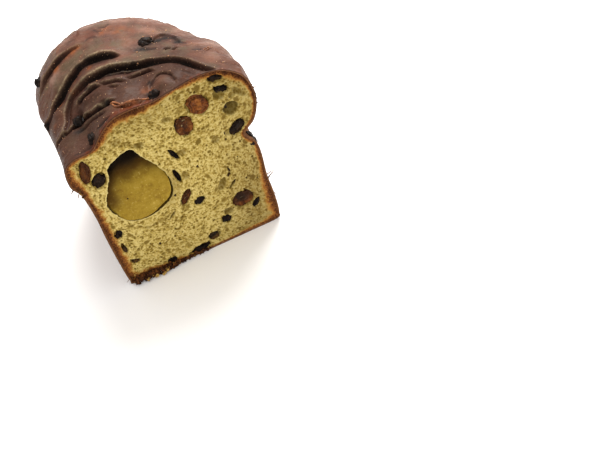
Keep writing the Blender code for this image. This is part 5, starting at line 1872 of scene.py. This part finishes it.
def grain_finish():
    grain = Finish("sugar_grains", IOR=1.5, Specular_IOR_Level=0.4)
    colour = grain.ramp(grain.grain(0.004), [(0.40, (176, 124, 84)), (0.60, (222, 178, 134))])
    return grain.finish(Base_Color=colour, Roughness=0.45)


grains_look = grain_finish()
grain_points, grain_faces = strewn_grains(crust, {
    "Grains per square metre": 26000.0, "Smallest grain": 0.10 * MM, "Largest grain": 0.26 * MM,
    "Seed": 4, "Finish": grains_look,
})
piece("sugar_grains", grain_points, grain_faces, finish=grains_look)

# %% [markdown]
# A few larger ones are put on the ridges as painted glints.

# %% Large grains
SPARKS = hundredths([
    (35.6, 3.3, 113.3), (41.2, 5.9, 113.9), (33.8, 33.1, 114.4), (71.8, 62.2, 112.1), (56.3, 34.2, 114.5),
    (58.6, 43.1, 115.1), (94.6, 8.2, 113.1), (88.2, 70.7, 101.4), (78.7, 63.3, 109), (72.1, 26.1, 115.7),
    (65, 56.3, 114.5), (63, 47.5, 114.9), (69.3, 53, 113.7)])
SPARK_SIZE = (0.42, 0.34, 0.34)
spark_unit, spark_triangles = ball(2)
spark_meshes = []
for number, spot in enumerate(on_skin(SPARKS, 0.12)):
    rough = 1 + 0.3 * noise(spark_unit + number, 0.8, 341)
    size = rough[:, None] * SPARK_SIZE * np.array(MM)
    spark_meshes.append((spot + spark_unit * size, spark_triangles))
spark_points, spark_faces = joined(spark_meshes)
piece("large_grains", spark_points, spark_faces, finish=grains_look)

# %% [markdown]
# ## Studio
#
# A pale floor, a pale sky that is brightest overhead, and one large soft light above and behind the loaf,
# so that the crown shines a little and the cut face lies in soft shade.

# %% Floor, light and camera
CAMERA_PLACE = Vector((-0.001343, -0.342915, 0.310805))
CAMERA_AZIMUTH, CAMERA_ELEVATION, CAMERA_ROLL = (math.radians(angle) for angle in (-12.57, 48.35, 15.23))
CAMERA_LENS = 39


def add_floor():
    mesh = bpy.data.meshes.new("floor")
    side = 3.0
    corners = [(-side, -side, 0), (side, -side, 0), (side, side, 0), (-side, side, 0)]
    mesh.from_pydata(corners, [], [(0, 1, 2, 3)])
    floor = add_object("floor", mesh)
    mesh.materials.append(Finish("floor_paint", Roughness=0.7).finish(Base_Color=tone(252, 251, 250)))


def add_light(name, place, target, size, power, colour=(1, 1, 1)):
    lamp = bpy.data.lights.new(name, "AREA")
    lamp.shape = "DISK"
    lamp.size = size
    lamp.energy = power
    lamp.color = colour
    made = add_object(name, lamp)
    made.location = place
    made.rotation_euler = (Vector(target) - Vector(place)).to_track_quat("-Z", "Y").to_euler()


def add_sky(low, high, colour):
    """A sky that grows brighter from the horizon to overhead, like a room with light from above."""
    world = bpy.data.worlds.new("sky")
    world.use_nodes = True
    nodes, links = world.node_tree.nodes, world.node_tree.links
    background = nodes["Background"]
    background.inputs["Color"].default_value = colour
    direction = nodes.new("ShaderNodeTexCoord")
    parts = nodes.new("ShaderNodeSeparateXYZ")
    climb = nodes.new("ShaderNodeMapRange")
    climb.inputs["To Min"].default_value = low
    climb.inputs["To Max"].default_value = high
    links.new(direction.outputs["Generated"], parts.inputs["Vector"])
    links.new(parts.outputs["Z"], climb.inputs["Value"])
    links.new(climb.outputs["Result"], background.inputs["Strength"])
    bpy.context.scene.world = world


def add_camera():
    lens = bpy.data.cameras.new("camera")
    lens.lens = CAMERA_LENS
    lens.clip_start = 0.01
    camera = add_object("camera", lens)
    level = Euler((math.pi / 2 - CAMERA_ELEVATION, 0, CAMERA_AZIMUTH)).to_matrix()
    turned = level @ Matrix.Rotation(-CAMERA_ROLL, 3, "Z")
    camera.matrix_world = Matrix.Translation(CAMERA_PLACE) @ turned.to_4x4()
    bpy.context.scene.camera = camera
    return camera


add_floor()
add_sky(0.55, 1.35, tone(255, 253, 251))
add_light("window", (0.30, 0.42, 0.75), (0, 0, 0.05), 0.6, 11.0, (1.0, 0.985, 0.97))
camera = add_camera()
bpy.context.scene.view_settings.view_transform = "Standard"
print("camera right:", camera.matrix_world.to_3x3().col[0])
